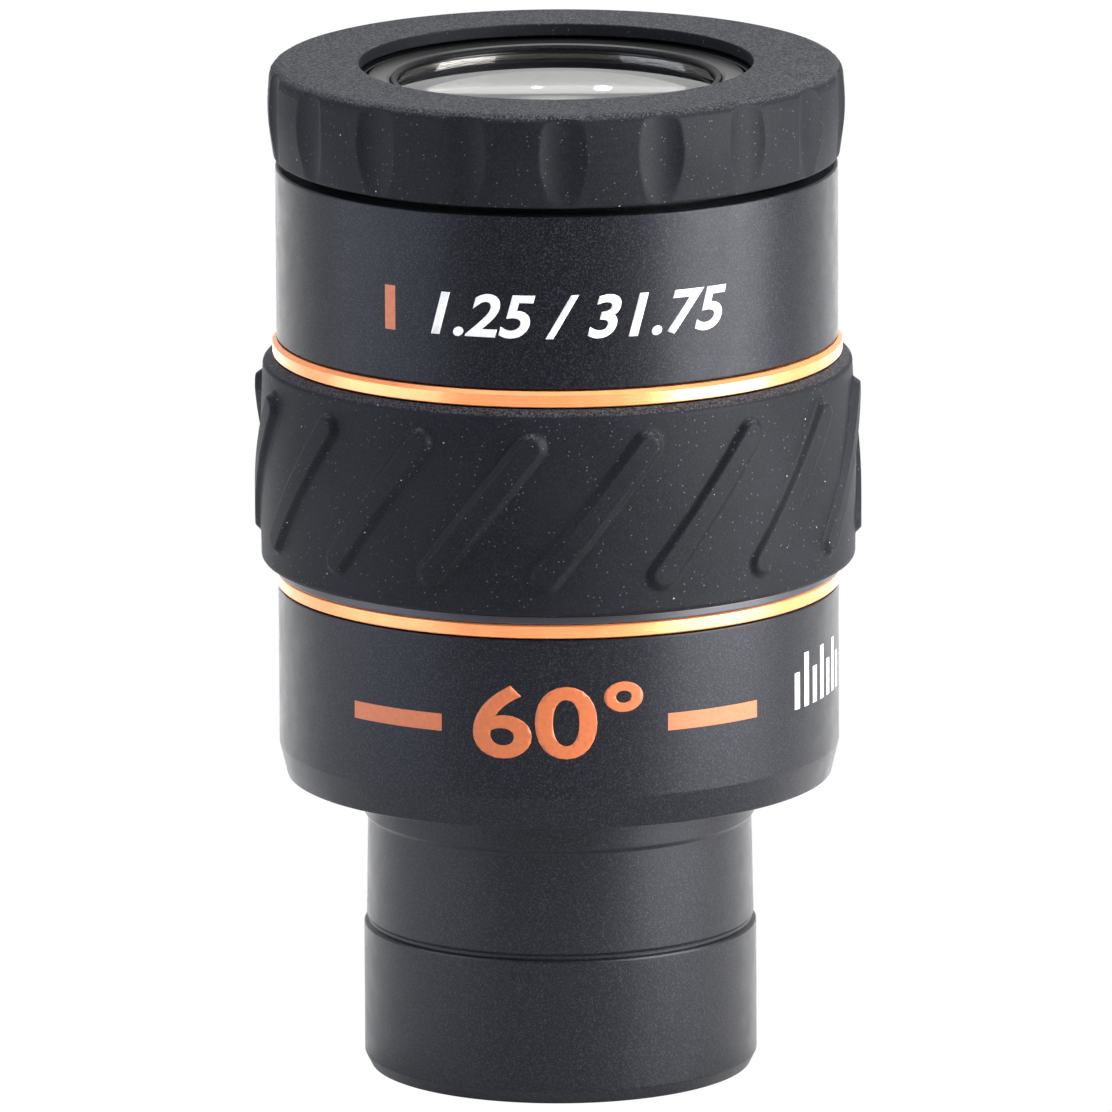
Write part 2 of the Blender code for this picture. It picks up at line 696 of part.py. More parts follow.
def make_eyecup_sleeve():
    low, high = ORING_Z - ORING_GROOVE_HALF, ORING_Z + ORING_GROOVE_HALF
    profile = [
        (SLEEVE_BORE_RADIUS, SLEEVE_TOP_Z),
        (SLEEVE_RADIUS, SLEEVE_TOP_Z),
        (SLEEVE_RADIUS, high),
        (ORING_GROOVE_RADIUS, high),
        (ORING_GROOVE_RADIUS, low),
        (SLEEVE_RADIUS, low),
        (SLEEVE_RADIUS, SLEEVE_Z),
        (SLEEVE_BORE_RADIUS, SLEEVE_Z),
    ]
    sleeve = turned("eyecup_sleeve", profile, parts, black_matte, MIDDLE_STEPS)
    for number, angle in enumerate(PIN_ANGLES, 1):
        boolean(sleeve, "DIFFERENCE", helical_groove(f"helical_groove_{number}", angle))
    return sleeve


def make_eyecup_carrier():
    low, high = CUP_BEAD_Z[0] - FIT_GAP, CUP_BEAD_Z[1] + FIT_GAP
    profile = [
        (CARRIER_BORE_RADIUS, CARRIER_TOP_Z),
        (CARRIER_RADIUS, CARRIER_TOP_Z),
        (CARRIER_RADIUS, high),
        (CARRIER_GROOVE_RADIUS, high),
        (CARRIER_GROOVE_RADIUS, low),
        (CARRIER_RADIUS, low),
        (CARRIER_RADIUS, CARRIER_Z),
        (CARRIER_BORE_RADIUS, CARRIER_Z),
    ]
    return turned("eyecup_carrier", profile, parts, black, MIDDLE_STEPS)


def make_flutes():
    """Shallow upright scoops round the side of the rubber."""
    bm = bmesh.new()
    centre = CUP_RADIUS - FLUTE_DEPTH + FLUTE_RADIUS
    middle = (CUP_Z + CUP_TOP_Z) / 2
    for number in range(FLUTE_COUNT):
        angle = FLUTE_FIRST_ANGLE + number * 360 / FLUTE_COUNT
        bmesh.ops.create_cone(
            bm,
            cap_ends=True,
            segments=28,
            radius1=FLUTE_RADIUS * MM,
            radius2=FLUTE_RADIUS * MM,
            depth=FLUTE_LENGTH * MM,
            matrix=Matrix.Translation(facing(angle, centre, middle)),
        )
    return cutter_from("eyecup_flutes", bm)


def make_eyecup_rubber():
    barrel = (CUP_RADIUS - CUP_BARREL_CURVE, CUP_WAIST_Z)
    shoulder = barrel[0] + math.sqrt(CUP_BARREL_CURVE**2 - (CUP_TOP_Z - CUP_ROUND - CUP_WAIST_Z) ** 2)
    side_top = math.degrees(math.asin((CUP_TOP_Z - CUP_ROUND - CUP_WAIST_Z) / CUP_BARREL_CURVE))
    side_bottom = math.degrees(math.asin((CUP_Z + CUP_ROUND - CUP_WAIST_Z) / CUP_BARREL_CURVE))
    rim = arc((shoulder - CUP_ROUND, CUP_TOP_Z - CUP_ROUND), CUP_ROUND, 90, 0, 3)
    side = arc(barrel, CUP_BARREL_CURVE, side_top, side_bottom, 6)
    profile = [
        (CUP_HOLE_RADIUS, CUP_TOP_Z - CUP_MOUTH_EDGE),
        (CUP_HOLE_RADIUS + CUP_MOUTH_EDGE, CUP_TOP_Z),
        *rim[:-1],
        *side,
        (CUP_FOOT_RADIUS, CUP_Z),
        (CUP_INNER_RADIUS, CUP_Z),
        (CUP_INNER_RADIUS, CUP_BEAD_Z[0]),
        (CUP_BEAD_RADIUS, CUP_BEAD_Z[0]),
        (CUP_BEAD_RADIUS, CUP_BEAD_Z[1]),
        (CUP_INNER_RADIUS, CUP_BEAD_Z[1]),
        (CUP_INNER_RADIUS, CUP_WEB_Z),
        (CUP_HOLE_RADIUS, CUP_WEB_Z),
    ]
    cup = turned("eyecup_rubber", profile, parts, rubber, RUBBER_STEPS)
    boolean(cup, "DIFFERENCE", make_flutes())
    return cup


def make_axis(name, height, parent=None):
    axis = bpy.data.objects.new(name, None)
    axis.empty_display_size = 5 * MM
    axis.location = (0, 0, height * MM)
    axis.parent = parent
    if parent:
        axis.location -= parent.location
    parts.objects.link(axis)
    return axis


def hang(obj, axis):
    """Parents a piece to its joint's axis without moving it."""
    obj.parent = axis
    obj.matrix_parent_inverse = axis_matrix(axis).inverted()


def axis_matrix(axis):
    matrix = Matrix.Translation(axis.location)
    return axis_matrix(axis.parent) @ matrix if axis.parent else matrix


def build():
    make_nosepiece()
    make_nosepiece_lock_ring()
    make_lower_housing()
    make_lower_accent_ring()
    make_grip_core()
    for number, angle in enumerate(SCREW_ANGLES, 1):
        make_set_screw(number, angle)
    make_grip_band()
    make_upper_accent_ring()
    make_upper_housing()
    make_lens_barrel()
    make_lens_retaining_ring()
    make_eye_optics()
    make_glare_baffle()
    make_field_stop()
    make_field_optics()
    for number, angle in enumerate(PIN_ANGLES, 1):
        make_guide_pin(number, angle)
    rise_axis = make_axis("eyecup_rise_axis", ORING_Z)
    turn_axis = make_axis("eyecup_turn_axis", PIN_Z, rise_axis)
    hang(make_friction_ring(), rise_axis)
    for piece in (make_eyecup_sleeve(), make_eyecup_carrier(), make_eyecup_rubber()):
        hang(piece, turn_axis)
    for obj in parts.objects:
        if obj.type == "MESH":
            smooth(obj)


clear_scene()
parts = new_collection("telescope_eyepiece")
cutters = new_collection("cutters")
black = new_material("black_anodised", (0.018, 0.019, 0.024), 0.38, 0.6)
black_matte = new_material("matte_black", (0.012, 0.012, 0.014), 0.75, 0.2)
orange = new_material("orange_anodised", (0.78, 0.17, 0.035), 0.3, 0.7)
rubber = new_material("black_rubber", (0.035, 0.037, 0.041), 0.75)
glass = new_material("coated_glass", (0.92, 0.95, 0.96), 0.02, 0.0, 1.0)
satin_aluminium = new_material("satin_aluminium", (0.6, 0.6, 0.6), 0.4, 1.0)
steel = new_material("steel", (0.5, 0.5, 0.52), 0.3, 1.0)
build()
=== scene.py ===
"""Looks of a telescope eyepiece with a ribbed rubber grip and a twist-up fluted eyecup.

Outlines are written in millimetres as (radius, height, fillet) corners, and take their outer
sizes from the CAD nodes. Angles are in degrees from the front (-Y), growing towards +X.
"""

import json
import math

import bmesh
import bpy
from mathutils import Matrix, Vector


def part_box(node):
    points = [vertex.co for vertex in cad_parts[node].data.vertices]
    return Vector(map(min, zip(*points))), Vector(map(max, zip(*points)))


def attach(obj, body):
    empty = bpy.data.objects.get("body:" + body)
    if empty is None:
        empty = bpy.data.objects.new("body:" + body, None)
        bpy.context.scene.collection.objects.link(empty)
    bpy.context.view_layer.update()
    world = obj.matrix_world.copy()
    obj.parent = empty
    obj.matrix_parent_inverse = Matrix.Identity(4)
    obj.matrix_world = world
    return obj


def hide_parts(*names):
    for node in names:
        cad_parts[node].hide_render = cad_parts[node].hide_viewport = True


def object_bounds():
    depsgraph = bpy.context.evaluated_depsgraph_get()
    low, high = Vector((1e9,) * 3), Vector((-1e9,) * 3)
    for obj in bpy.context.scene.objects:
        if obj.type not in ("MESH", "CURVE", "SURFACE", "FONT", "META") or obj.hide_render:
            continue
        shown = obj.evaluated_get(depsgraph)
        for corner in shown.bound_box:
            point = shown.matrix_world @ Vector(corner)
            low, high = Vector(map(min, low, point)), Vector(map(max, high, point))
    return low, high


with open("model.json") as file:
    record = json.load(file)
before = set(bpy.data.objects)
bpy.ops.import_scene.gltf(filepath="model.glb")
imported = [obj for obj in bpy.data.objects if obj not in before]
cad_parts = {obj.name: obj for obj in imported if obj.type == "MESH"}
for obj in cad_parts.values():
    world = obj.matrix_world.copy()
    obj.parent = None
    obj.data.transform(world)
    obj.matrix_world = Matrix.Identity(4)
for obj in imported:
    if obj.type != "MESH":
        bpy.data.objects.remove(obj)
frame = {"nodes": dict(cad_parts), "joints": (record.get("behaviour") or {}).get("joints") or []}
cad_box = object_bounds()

MM = 0.001
ROUND_STEPS = 256
FILLET_SEGMENTS = 4
SUPPORT_GAP = 0.06
SHARP_ANGLE = math.radians(35)


def span(node):
    """Outer radius, bottom and top of a CAD node, in millimetres."""
    low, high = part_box(node)
    return high.x / MM, low.z / MM, high.z / MM


def facing(angle, radius, height):
    turn = math.radians(angle)
    return Vector((radius * math.sin(turn), -radius * math.cos(turn), height)) * MM


# Outlines and lathe work.


def rounded(corners):
    """Points of a closed outline whose corners (radius, height, fillet) are rounded.

    A point just beyond each fillet keeps the flat stretches next to it flat when shaded smooth.
    """
    points = []
    for i, (radius, height, fillet) in enumerate(corners):
        here = Vector((radius, height))
        if not fillet:
            points.append(here)
            continue
        before = Vector(corners[i - 1][:2]) - here
        after = Vector(corners[(i + 1) % len(corners)][:2]) - here
        half = before.angle(after) / 2
        reach = fillet / math.tan(half)
        middle = (before.normalized() + after.normalized()).normalized()
        centre = here + middle * fillet / math.sin(half)
        start = here + before.normalized() * reach - centre
        end = here + after.normalized() * reach - centre
        first = math.atan2(start.y, start.x)
        sweep = (math.atan2(end.y, end.x) - first + math.pi) % math.tau - math.pi
        if before.length > reach + 2 * SUPPORT_GAP:
            points.append(here + before.normalized() * (reach + SUPPORT_GAP))
        for k in range(FILLET_SEGMENTS + 1):
            turn = first + sweep * k / FILLET_SEGMENTS
            points.append(centre + Vector((math.cos(turn), math.sin(turn))) * fillet)
        if after.length > reach + 2 * SUPPORT_GAP:
            points.append(here + after.normalized() * (reach + SUPPORT_GAP))
    return [(p.x, p.y) for p in points]


def levels(*stretches):
    """Heights spaced evenly over each stretch (low, high, step)."""
    heights = []
    for low, high, step in stretches:
        heights += [low + step * k for k in range(int((high - low) / step) + 1)]
    return heights


def columns_round(count, first, outer, inner, sparse, dense, middle):
    """Column angles for a feature that repeats round the turn, closest together on its two flanks.

    The flanks lie between the angles inner and outer, to either side of each feature's middle.
    """
    half = 360 / count / 2
    stretches = (
        (-half, -outer, sparse),
        (-outer, -inner, dense),
        (-inner, inner, middle),
        (inner, outer, dense),
        (outer, half, sparse),
    )
    offsets = []
    for low, high, steps in stretches:
        offsets += [low + (high - low) * k / steps for k in range(steps)]
    return [first + number * 2 * half + offset for number in range(count) for offset in offsets]


def sliced(points, heights, inside, outside):
    """The same outline with a point wherever it crosses one of the heights between two radii."""
    result = []
    for (r0, z0), (r1, z1) in zip(points, points[1:] + points[:1]):
        result.append((r0, z0))
        if not inside < min(r0, r1) or not max(r0, r1) < outside:
            continue
        shares = sorted((z - z0) / (z1 - z0) for z in heights if min(z0, z1) < z < max(z0, z1))
        result += [(r0 + (r1 - r0) * t, z0 + (z1 - z0) * t) for t in shares]
    return result


def mesh_piece(name, verts, faces, material):
    mesh = bpy.data.meshes.new(name)
    mesh.from_pydata(verts, [], faces)
    for polygon in mesh.polygons:
        polygon.use_smooth = True
    mesh.set_sharp_from_angle(angle=SHARP_ANGLE)
    mesh.materials.append(material)
    piece = bpy.data.objects.new(name, mesh)
    bpy.context.scene.collection.objects.link(piece)
    return piece


def lathe(name, outline, material, angles=None, shape=None, closed=True):
    """A turned piece whose outline runs down its outer side.

    shape(radius, height, angle) may return another radius and angle, for ribs, flutes and threads.
    """
    angles = angles or [360 * i / ROUND_STEPS for i in range(ROUND_STEPS)]
    rows = outline if closed else outline[1:-1]
    verts = []
    for angle in angles:
        for radius, height in rows:
            shaped = shape(radius, height, angle) if shape else (radius, angle)
            verts.append(facing(shaped[1], shaped[0], height))
    count, across = len(rows), len(angles)
    faces = []
    for i in range(across):
        here, beside = i * count, (i + 1) % across * count
        for j in range(count if closed else count - 1):
            below = (j + 1) % count
            faces.append((here + j, here + below, beside + below, beside + j))
    if not closed:
        top, bottom = len(verts), len(verts) + 1
        verts += [facing(0, 0, outline[0][1]), facing(0, 0, outline[-1][1])]
        for i in range(across):
            here, beside = i * count, (i + 1) % across * count
            faces.append((top, here, beside))
            faces.append((bottom, beside + count - 1, here + count - 1))
    return mesh_piece(name, verts, faces, material)


def stand_in(piece, node, body="barrel"):
    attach(piece, body)
    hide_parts(node)


# Materials.


COOL_TINT = (0.85, 0.88, 1.0, 1.0)
# Pale specks painted into the colour as the glints of the blasted grain.
GRAIN_GLINT = (0.024, 0.025, 0.031)

RUBBER = (0.006, 0.0064, 0.0098)
RUBBER_TINT = (0.9, 0.94, 1.0, 1.0)
RUBBER_DARK_PATCH = (0.0034, 0.004, 0.0054)
RUBBER_PALE_PATCH = (0.0056, 0.0064, 0.0082)
RUBBER_GRAIN = (0.0125, 0.0132, 0.018)
# Pale layer on upward faces: partly dust, partly a painted sheen that lightens the tops of the
# rubber.
DUST_AND_TOP_SHEEN = (0.27, 0.282, 0.315)
DUST_SPOT = (0.065, 0.07, 0.08)
DUST_GRAIN = (0.3, 0.3, 0.32)

ORANGE = (0.92, 0.32, 0.12)
ORANGE_DEEP = (0.89, 0.3, 0.11)
ORANGE_PALE = (0.95, 0.34, 0.13)


class Shader:
    """A Principled material whose procedural inputs are added a layer at a time."""

    def __init__(self, name, colour, roughness):
        self.material = bpy.data.materials.new(name)
        self.material.use_nodes = True
        self.material.diffuse_color = (*colour, 1.0)
        self.nodes = self.material.node_tree.nodes
        self.links = self.material.node_tree.links
        self.base = self.nodes["Principled BSDF"]
        self.base.inputs["Base Color"].default_value = (*colour, 1.0)
        self.base.inputs["Roughness"].default_value = roughness
        self.place = self.nodes.new("ShaderNodeTexCoord").outputs["Object"]

    def set(self, socket, value):
        self.base.inputs[socket].default_value = value
        return self

    def scaled(self, x, y, z):
        """Object coordinates in millimetres, stretched along each axis."""
        mapping = self.nodes.new("ShaderNodeMapping")
        mapping.inputs["Scale"].default_value = (x / MM, y / MM, z / MM)
        self.links.new(self.place, mapping.inputs["Vector"])
        return mapping.outputs["Vector"]

    def noise(self, scale, detail=3.0, stretch=(1, 1, 1)):
        texture = self.nodes.new("ShaderNodeTexNoise")
        texture.inputs["Scale"].default_value = scale
        texture.inputs["Detail"].default_value = detail
        self.links.new(self.scaled(*stretch), texture.inputs["Vector"])
        return texture.outputs["Fac"]

    def turning(self, scale):
        """Fine uneven lines round the axis, as a lathe leaves them on flats and sides alike."""
        length = self.nodes.new("ShaderNodeVectorMath")
        length.operation = "LENGTH"
        self.links.new(self.scaled(1, 1, 0), length.inputs[0])
        parts = self.nodes.new("ShaderNodeSeparateXYZ")
        self.links.new(self.scaled(1, 1, 1), parts.inputs[0])
        joined = self.nodes.new("ShaderNodeCombineXYZ")
        self.links.new(length.outputs["Value"], joined.inputs["X"])
        self.links.new(parts.outputs["Z"], joined.inputs["Y"])
        texture = self.nodes.new("ShaderNodeTexNoise")
        texture.inputs["Scale"].default_value = scale
        self.links.new(joined.outputs["Vector"], texture.inputs["Vector"])
        return texture.outputs["Fac"]

    def specks(self, scale, size, share):
        """1 inside small scattered dots and 0 elsewhere. Only this share of the cells has a dot."""
        cells = self.nodes.new("ShaderNodeTexVoronoi")
        cells.inputs["Scale"].default_value = scale
        self.links.new(self.scaled(1, 1, 1), cells.inputs["Vector"])
        near = self.math("LESS_THAN", cells.outputs["Distance"], size)
        chosen = self.math("LESS_THAN", cells.outputs["Color"], share)
        return self.math("MULTIPLY", near, chosen)

    def upward(self):
        """How far the surface faces up: 1 on a level top and 0 where it is steep."""
        normal = self.nodes.new("ShaderNodeNewGeometry").outputs["Normal"]
        parts = self.nodes.new("ShaderNodeSeparateXYZ")
        self.links.new(normal, parts.inputs[0])
        return self.ranged(parts.outputs["Z"], 0.0, 1.0, (0.6, 1.0))

    def math(self, operation, first, second):
        step = self.nodes.new("ShaderNodeMath")
        step.operation = operation
        self.links.new(first, step.inputs[0])
        if isinstance(second, (int, float)):
            step.inputs[1].default_value = second
        else:
            self.links.new(second, step.inputs[1])
        return step.outputs[0]

    def ranged(self, value, low, high, source=(0.0, 1.0)):
        ramp = self.nodes.new("ShaderNodeMapRange")
        ramp.inputs["From Min"].default_value = source[0]
        ramp.inputs["From Max"].default_value = source[1]
        ramp.inputs["To Min"].default_value = low
        ramp.inputs["To Max"].default_value = high
        self.links.new(value, ramp.inputs["Value"])
        return ramp.outputs["Result"]

    def mixed(self, factor, first, second):
        mix = self.nodes.new("ShaderNodeMix")
        mix.data_type = "RGBA"
        self.links.new(factor, mix.inputs["Factor"])
        for value, socket in ((first, mix.inputs["A"]), (second, mix.inputs["B"])):
            if isinstance(value, tuple):
                socket.default_value = (*value, 1.0)
            else:
                self.links.new(value, socket)
        return mix.outputs["Result"]

    def colour(self, value):
        self.links.new(value, self.base.inputs["Base Color"])
        return self

    def roughness(self, value):
        self.links.new(value, self.base.inputs["Roughness"])
        return self

    def bump(self, *layers):
        """Each layer is (height value, height in millimetres)."""
        normal = None
        for value, height in layers:
            step = self.nodes.new("ShaderNodeBump")
            step.inputs["Strength"].default_value = 1.0
            step.inputs["Distance"].default_value = height * MM
            self.links.new(value, step.inputs["Height"])
            if normal:
                self.links.new(normal, step.inputs["Normal"])
            normal = step.outputs["Normal"]
        self.links.new(normal, self.base.inputs["Normal"])
        return self


def anodised_black(name, tint, grain_height, gloss=0.2):
    """Bead-blasted black anodising: fine grain over a slightly blue black, its sparkle painted into
    the colour as pale specks.
    """
    shader = Shader(name, tint, 0.36)
    shader.set("Specular IOR Level", gloss).set("Specular Tint", COOL_TINT)
    grain = shader.noise(7.5, 2.0)
    cloud = shader.noise(0.5, 3.0)
    # Painted glints: the grain lightens the colour towards GRAIN_GLINT.
    shader.colour(shader.mixed(shader.ranged(grain, 0, 1, (0.48, 0.78)), tint, GRAIN_GLINT))
    shader.roughness(shader.ranged(cloud, 0.33, 0.4, (0.3, 0.7)))
    return shader.bump((grain, grain_height)).material


def matte_black(name):
    shader = Shader(name, (0.008, 0.008, 0.009), 0.7)
    shader.set("Specular IOR Level", 0.3)
    lines = shader.noise(1.0, 2.0, (0.02, 0.02, 9.0))
    grain = shader.noise(5.0)
    shader.roughness(shader.ranged(grain, 0.62, 0.8))
    return shader.bump((lines, 0.006), (grain, 0.004)).material


def moulded_rubber(name):
    """Matte blue-grey rubber with a fine moulded texture and a little pale dust. On upward faces the
    pale layer is partly dust and partly a painted sheen for the light that tops catch from above.
    """
    shader = Shader(name, RUBBER, 0.6)
    shader.set("Specular IOR Level", 0.12).set("Specular Tint", RUBBER_TINT)
    grain = shader.noise(6.5, 3.0)
    patchy = shader.ranged(shader.noise(0.16, 3.0), 0, 1, (0.35, 0.65))
    clean = shader.mixed(patchy, RUBBER_DARK_PATCH, RUBBER_PALE_PATCH)
    rough = shader.mixed(shader.ranged(grain, 0, 1, (0.45, 0.75)), clean, RUBBER_GRAIN)
    # Upward faces get a pale patchy layer: partly dust, partly a painted sheen standing in for light
    # falling on the tops.
    dust_and_sheen_film = shader.ranged(shader.noise(6.0, 4.0), 0.0, 0.4, (0.42, 0.7))
    dust_and_top_sheen = shader.mixed(shader.math("MULTIPLY", shader.upward(), dust_and_sheen_film), rough, DUST_AND_TOP_SHEEN)
    spotted = shader.mixed(shader.specks(2.6, 0.15, 0.4), dust_and_top_sheen, DUST_SPOT)
    shader.colour(shader.mixed(shader.specks(0.9, 0.055, 0.32), spotted, DUST_GRAIN))
    shader.roughness(shader.ranged(grain, 0.52, 0.66))
    return shader.bump((grain, 0.012)).material


def anodised_orange(name):
    """Satin orange anodising over fine turning lines."""
    shader = Shader(name, ORANGE, 0.27)
    shader.set("Metallic", 0.62).set("Coat Weight", 0.13).set("Coat Roughness", 0.14)
    lines = shader.turning(14.0)
    cloud = shader.ranged(shader.noise(0.7), 0, 1, (0.3, 0.7))
    shader.colour(shader.mixed(cloud, ORANGE_DEEP, ORANGE_PALE))
    shader.roughness(shader.ranged(lines, 0.25, 0.31))
    return shader.bump((lines, 0.001)).material


def turned_metal(name, colour):
    """Satin metal with the fine concentric lines of a facing cut."""
    shader = Shader(name, colour, 0.3)
    shader.set("Metallic", 1.0)
    lines = shader.turning(7.0)
    grain = shader.noise(7.0, 2.0)
    shader.roughness(shader.ranged(grain, 0.25, 0.4))
    return shader.bump((lines, 0.008), (grain, 0.003)).material


def ground_steel(name):
    shader = Shader(name, (0.5, 0.5, 0.52), 0.28)
    shader.set("Metallic", 1.0)
    lines = shader.noise(1.0, 2.0, (8.0, 8.0, 8.0))
    shader.roughness(shader.ranged(lines, 0.2, 0.36))
    return shader.bump((lines, 0.002)).material


def coated_glass(name, tint):
    """Polished glass with a faint multi-layer coating and almost invisible dust."""
    shader = Shader(name, tint, 0.015)
    shader.set("Transmission Weight", 1.0).set("IOR", 1.5)
    haze = shader.noise(0.12, 3.0)
    dust = shader.specks(1.1, 0.03, 0.2)
    clear = shader.ranged(haze, 0.012, 0.03, (0.3, 0.7))
    return shader.roughness(shader.math("MAXIMUM", clear, shader.ranged(dust, 0.0, 0.4))).material


def stacked_glass(name, tint):
    """The stacked elements below the eye lens, as a grey matte surface: painted light, whose colour
    stands in for the veil of light shining up through the lenses.
    """
    shader = Shader(name, tint, 0.5)
    shader.set("Specular IOR Level", 0.0)
    cloud = shader.noise(0.1, 2.0)
    dim = tuple(0.9 * c for c in tint)
    return shader.colour(shader.mixed(shader.ranged(cloud, 0, 1, (0.3, 0.7)), dim, tint)).material


def printed_ink(name, colour):
    """A screen-printed mark, with a faint unevenness in the ink."""
    shader = Shader(name, colour, 0.45)
    blotch = shader.noise(3.0, 3.0)
    dim = tuple(0.86 * c for c in colour)
    shader.colour(shader.mixed(shader.ranged(blotch, 0, 1, (0.35, 0.65)), dim, colour))
    return shader.bump((blotch, 0.004)).material


# Outer shells. The CAD boxes give their outer sizes, and the inner ones are named here.

CUP_BORE = 20.7
HOUSING_BORE = 20.9

# How much closer than the CAD's clearances the trim rings and the core's flange reach.
REVEAL = 0.06

NOSE_STEP_Z = 11.7
NECK_TOP_Z = 20.6
COLLAR_Z = 20.95
COLLAR_TOP_Z = 24.9
NOSE_SPIGOT = 15.0
MOUTH = 14.7
CELL_BORE = 13.95
CELL_LEDGE_Z = 20.5
LIGHT_BORE = 12.9
STOP_BORE = 13.9
STOP_LEDGE_Z = 27.5
THREAD_ROOT = 14.2
THREAD_LOW_Z = 0.45
THREAD_HIGH_Z = 5.1
THREAD_PITCH = 0.6
THREAD_DEPTH = 0.28


def make_nosepiece():
    """The push-fit barrel, with a groove above its step and the filter thread in its mouth."""
    radius, bottom, top = span("nosepiece")
    neck_low, neck_high, collar = radius - 0.215, radius - 0.365, radius - 0.075
    groove = neck_low - 0.14
    corners = [
        (STOP_BORE, top, 0.1),
        (NOSE_SPIGOT, top, 0.2),
        (NOSE_SPIGOT, COLLAR_TOP_Z, 0),
        (collar, COLLAR_TOP_Z, 0.1),
        (collar, COLLAR_Z, 0.08),
        (neck_high, NECK_TOP_Z, 0.12),
        (neck_low, NOSE_STEP_Z + 0.75, 0.05),
        (groove, NOSE_STEP_Z + 0.5, 0.04),
        (groove, NOSE_STEP_Z + 0.28, 0.03),
        (radius - 0.09, NOSE_STEP_Z + 0.14, 0.04),
        (radius, NOSE_STEP_Z, 0.05),
        (radius, bottom + 1.05, 0.35),
        (radius - 0.525, bottom, 0.12),
        (MOUTH, bottom, 0.08),
        (THREAD_ROOT, bottom + THREAD_LOW_Z, 0),
        (THREAD_ROOT, THREAD_HIGH_Z + 0.1, 0),
        (CELL_BORE, THREAD_HIGH_Z + 0.3, 0),
        (CELL_BORE, CELL_LEDGE_Z, 0),
        (LIGHT_BORE, CELL_LEDGE_Z, 0.1),
        (LIGHT_BORE, STOP_LEDGE_Z, 0.1),
        (STOP_BORE, STOP_LEDGE_Z, 0),
    ]

    def filter_thread(r, z, angle):
        if abs(r - THREAD_ROOT) > 1e-6 or not THREAD_LOW_Z < z < THREAD_HIGH_Z:
            return r, angle
        phase = (z / THREAD_PITCH - angle / 360) % 1
        return r - THREAD_DEPTH * (1 - abs(2 * phase - 1)), angle

    heights = levels((THREAD_LOW_Z, THREAD_HIGH_Z, THREAD_PITCH / 8))
    outline = sliced(rounded(corners), heights, THREAD_ROOT - 0.1, THREAD_ROOT + 0.1)
    piece = lathe("nosepiece_shell", outline, black_nose, shape=filter_thread)
    stand_in(piece, "nosepiece")


def make_lower_housing():
    """The lower black cylinder, bevelled at its bottom, with a recess round the nosepiece."""
    radius, bottom, top = span("lower_housing")
    recess, recess_top = 16.1, bottom + 1.0
    hole, floor = 15.3, bottom + 3.0
    corners = [
        (HOUSING_BORE, top, 0.05),
        (radius, top, 0.12),
        (radius, bottom + 2.6, 0.15),
        (radius - 0.62, bottom, 0.15),
        (recess, bottom, 0.12),
        (recess, recess_top, 0),
        (hole, recess_top, 0),
        (hole, floor, 0),
        (HOUSING_BORE, floor, 0.3),
    ]
    stand_in(lathe("lower_housing_shell", rounded(corners), black_low), "lower_housing")


def make_upper_housing():
    """The upper black cylinder, whose spigot goes down inside the grip."""
    radius, spigot_bottom, top = span("upper_housing")
    bottom, floor = 60.2, 61.4
    spigot, spigot_bore = 20.4, 18.6
    corners = [
        (CUP_BORE, top, 0.08),
        (radius, top, 0.2),
        (radius, bottom, 0.1),
        (spigot, bottom, 0),
        (spigot, spigot_bottom, 0.2),
        (spigot_bore, spigot_bottom, 0.1),
        (spigot_bore, floor, 0.1),
        (CUP_BORE, floor, 0.2),
    ]
    stand_in(lathe("upper_housing_shell", rounded(corners), black_top), "upper_housing")


def make_accent_ring(node, bore, top_chamfer, bottom_chamfer):
    """An orange trim ring, which reaches closer to its neighbours than the CAD ring's clearance."""
    radius, bottom, top = span(node)
    bottom, top = bottom - REVEAL, top + REVEAL
    corners = [
        (bore, top, 0.05),
        (radius - top_chamfer, top, 0.04),
        (radius, top - top_chamfer, 0.06),
        (radius, bottom + bottom_chamfer, 0.04),
        (radius - bottom_chamfer, bottom, 0.03),
        (bore, bottom, 0.05),
    ]
    stand_in(lathe(node + "_trim", rounded(corners), orange), node)


def make_grip_core():
    """The core under the rubber band. Its flange shows as a black line below the band, in a lighter
    black whose tint and gloss are painted light for the light the flange catches from the left.
    """
    radius, bottom, top = span("grip_core")
    flange_low, flange_top = 41.2 - REVEAL, 41.75 + REVEAL
    seat, spigot, bore, ledge = 22.4, 20.6, 18.2, 53.2
    corners = [
        (CUP_BORE, top, 0.1),
        (seat, top, 0.1),
        (seat, flange_top, 0),
        (radius, flange_top, 0.1),
        (radius, flange_low, 0.1),
        (spigot, flange_low, 0),
        (spigot, bottom, 0.2),
        (bore, bottom, 0.2),
        (bore, ledge, 0.1),
        (CUP_BORE, ledge, 0.1),
    ]
    stand_in(lathe("grip_core_shell", rounded(corners), black_flange), "grip_core")


# Rubber grip with raised slanting ribs.

RIB_COUNT = 16
RIB_LOW_Z = 45.05
RIB_HIGH_Z = 55.7
RIB_LOW_ANGLE = -2.5
RIB_LEAN_ANGLE = 19.9
RIB_WIDTH = 2.7
RIB_FLANK = 0.65


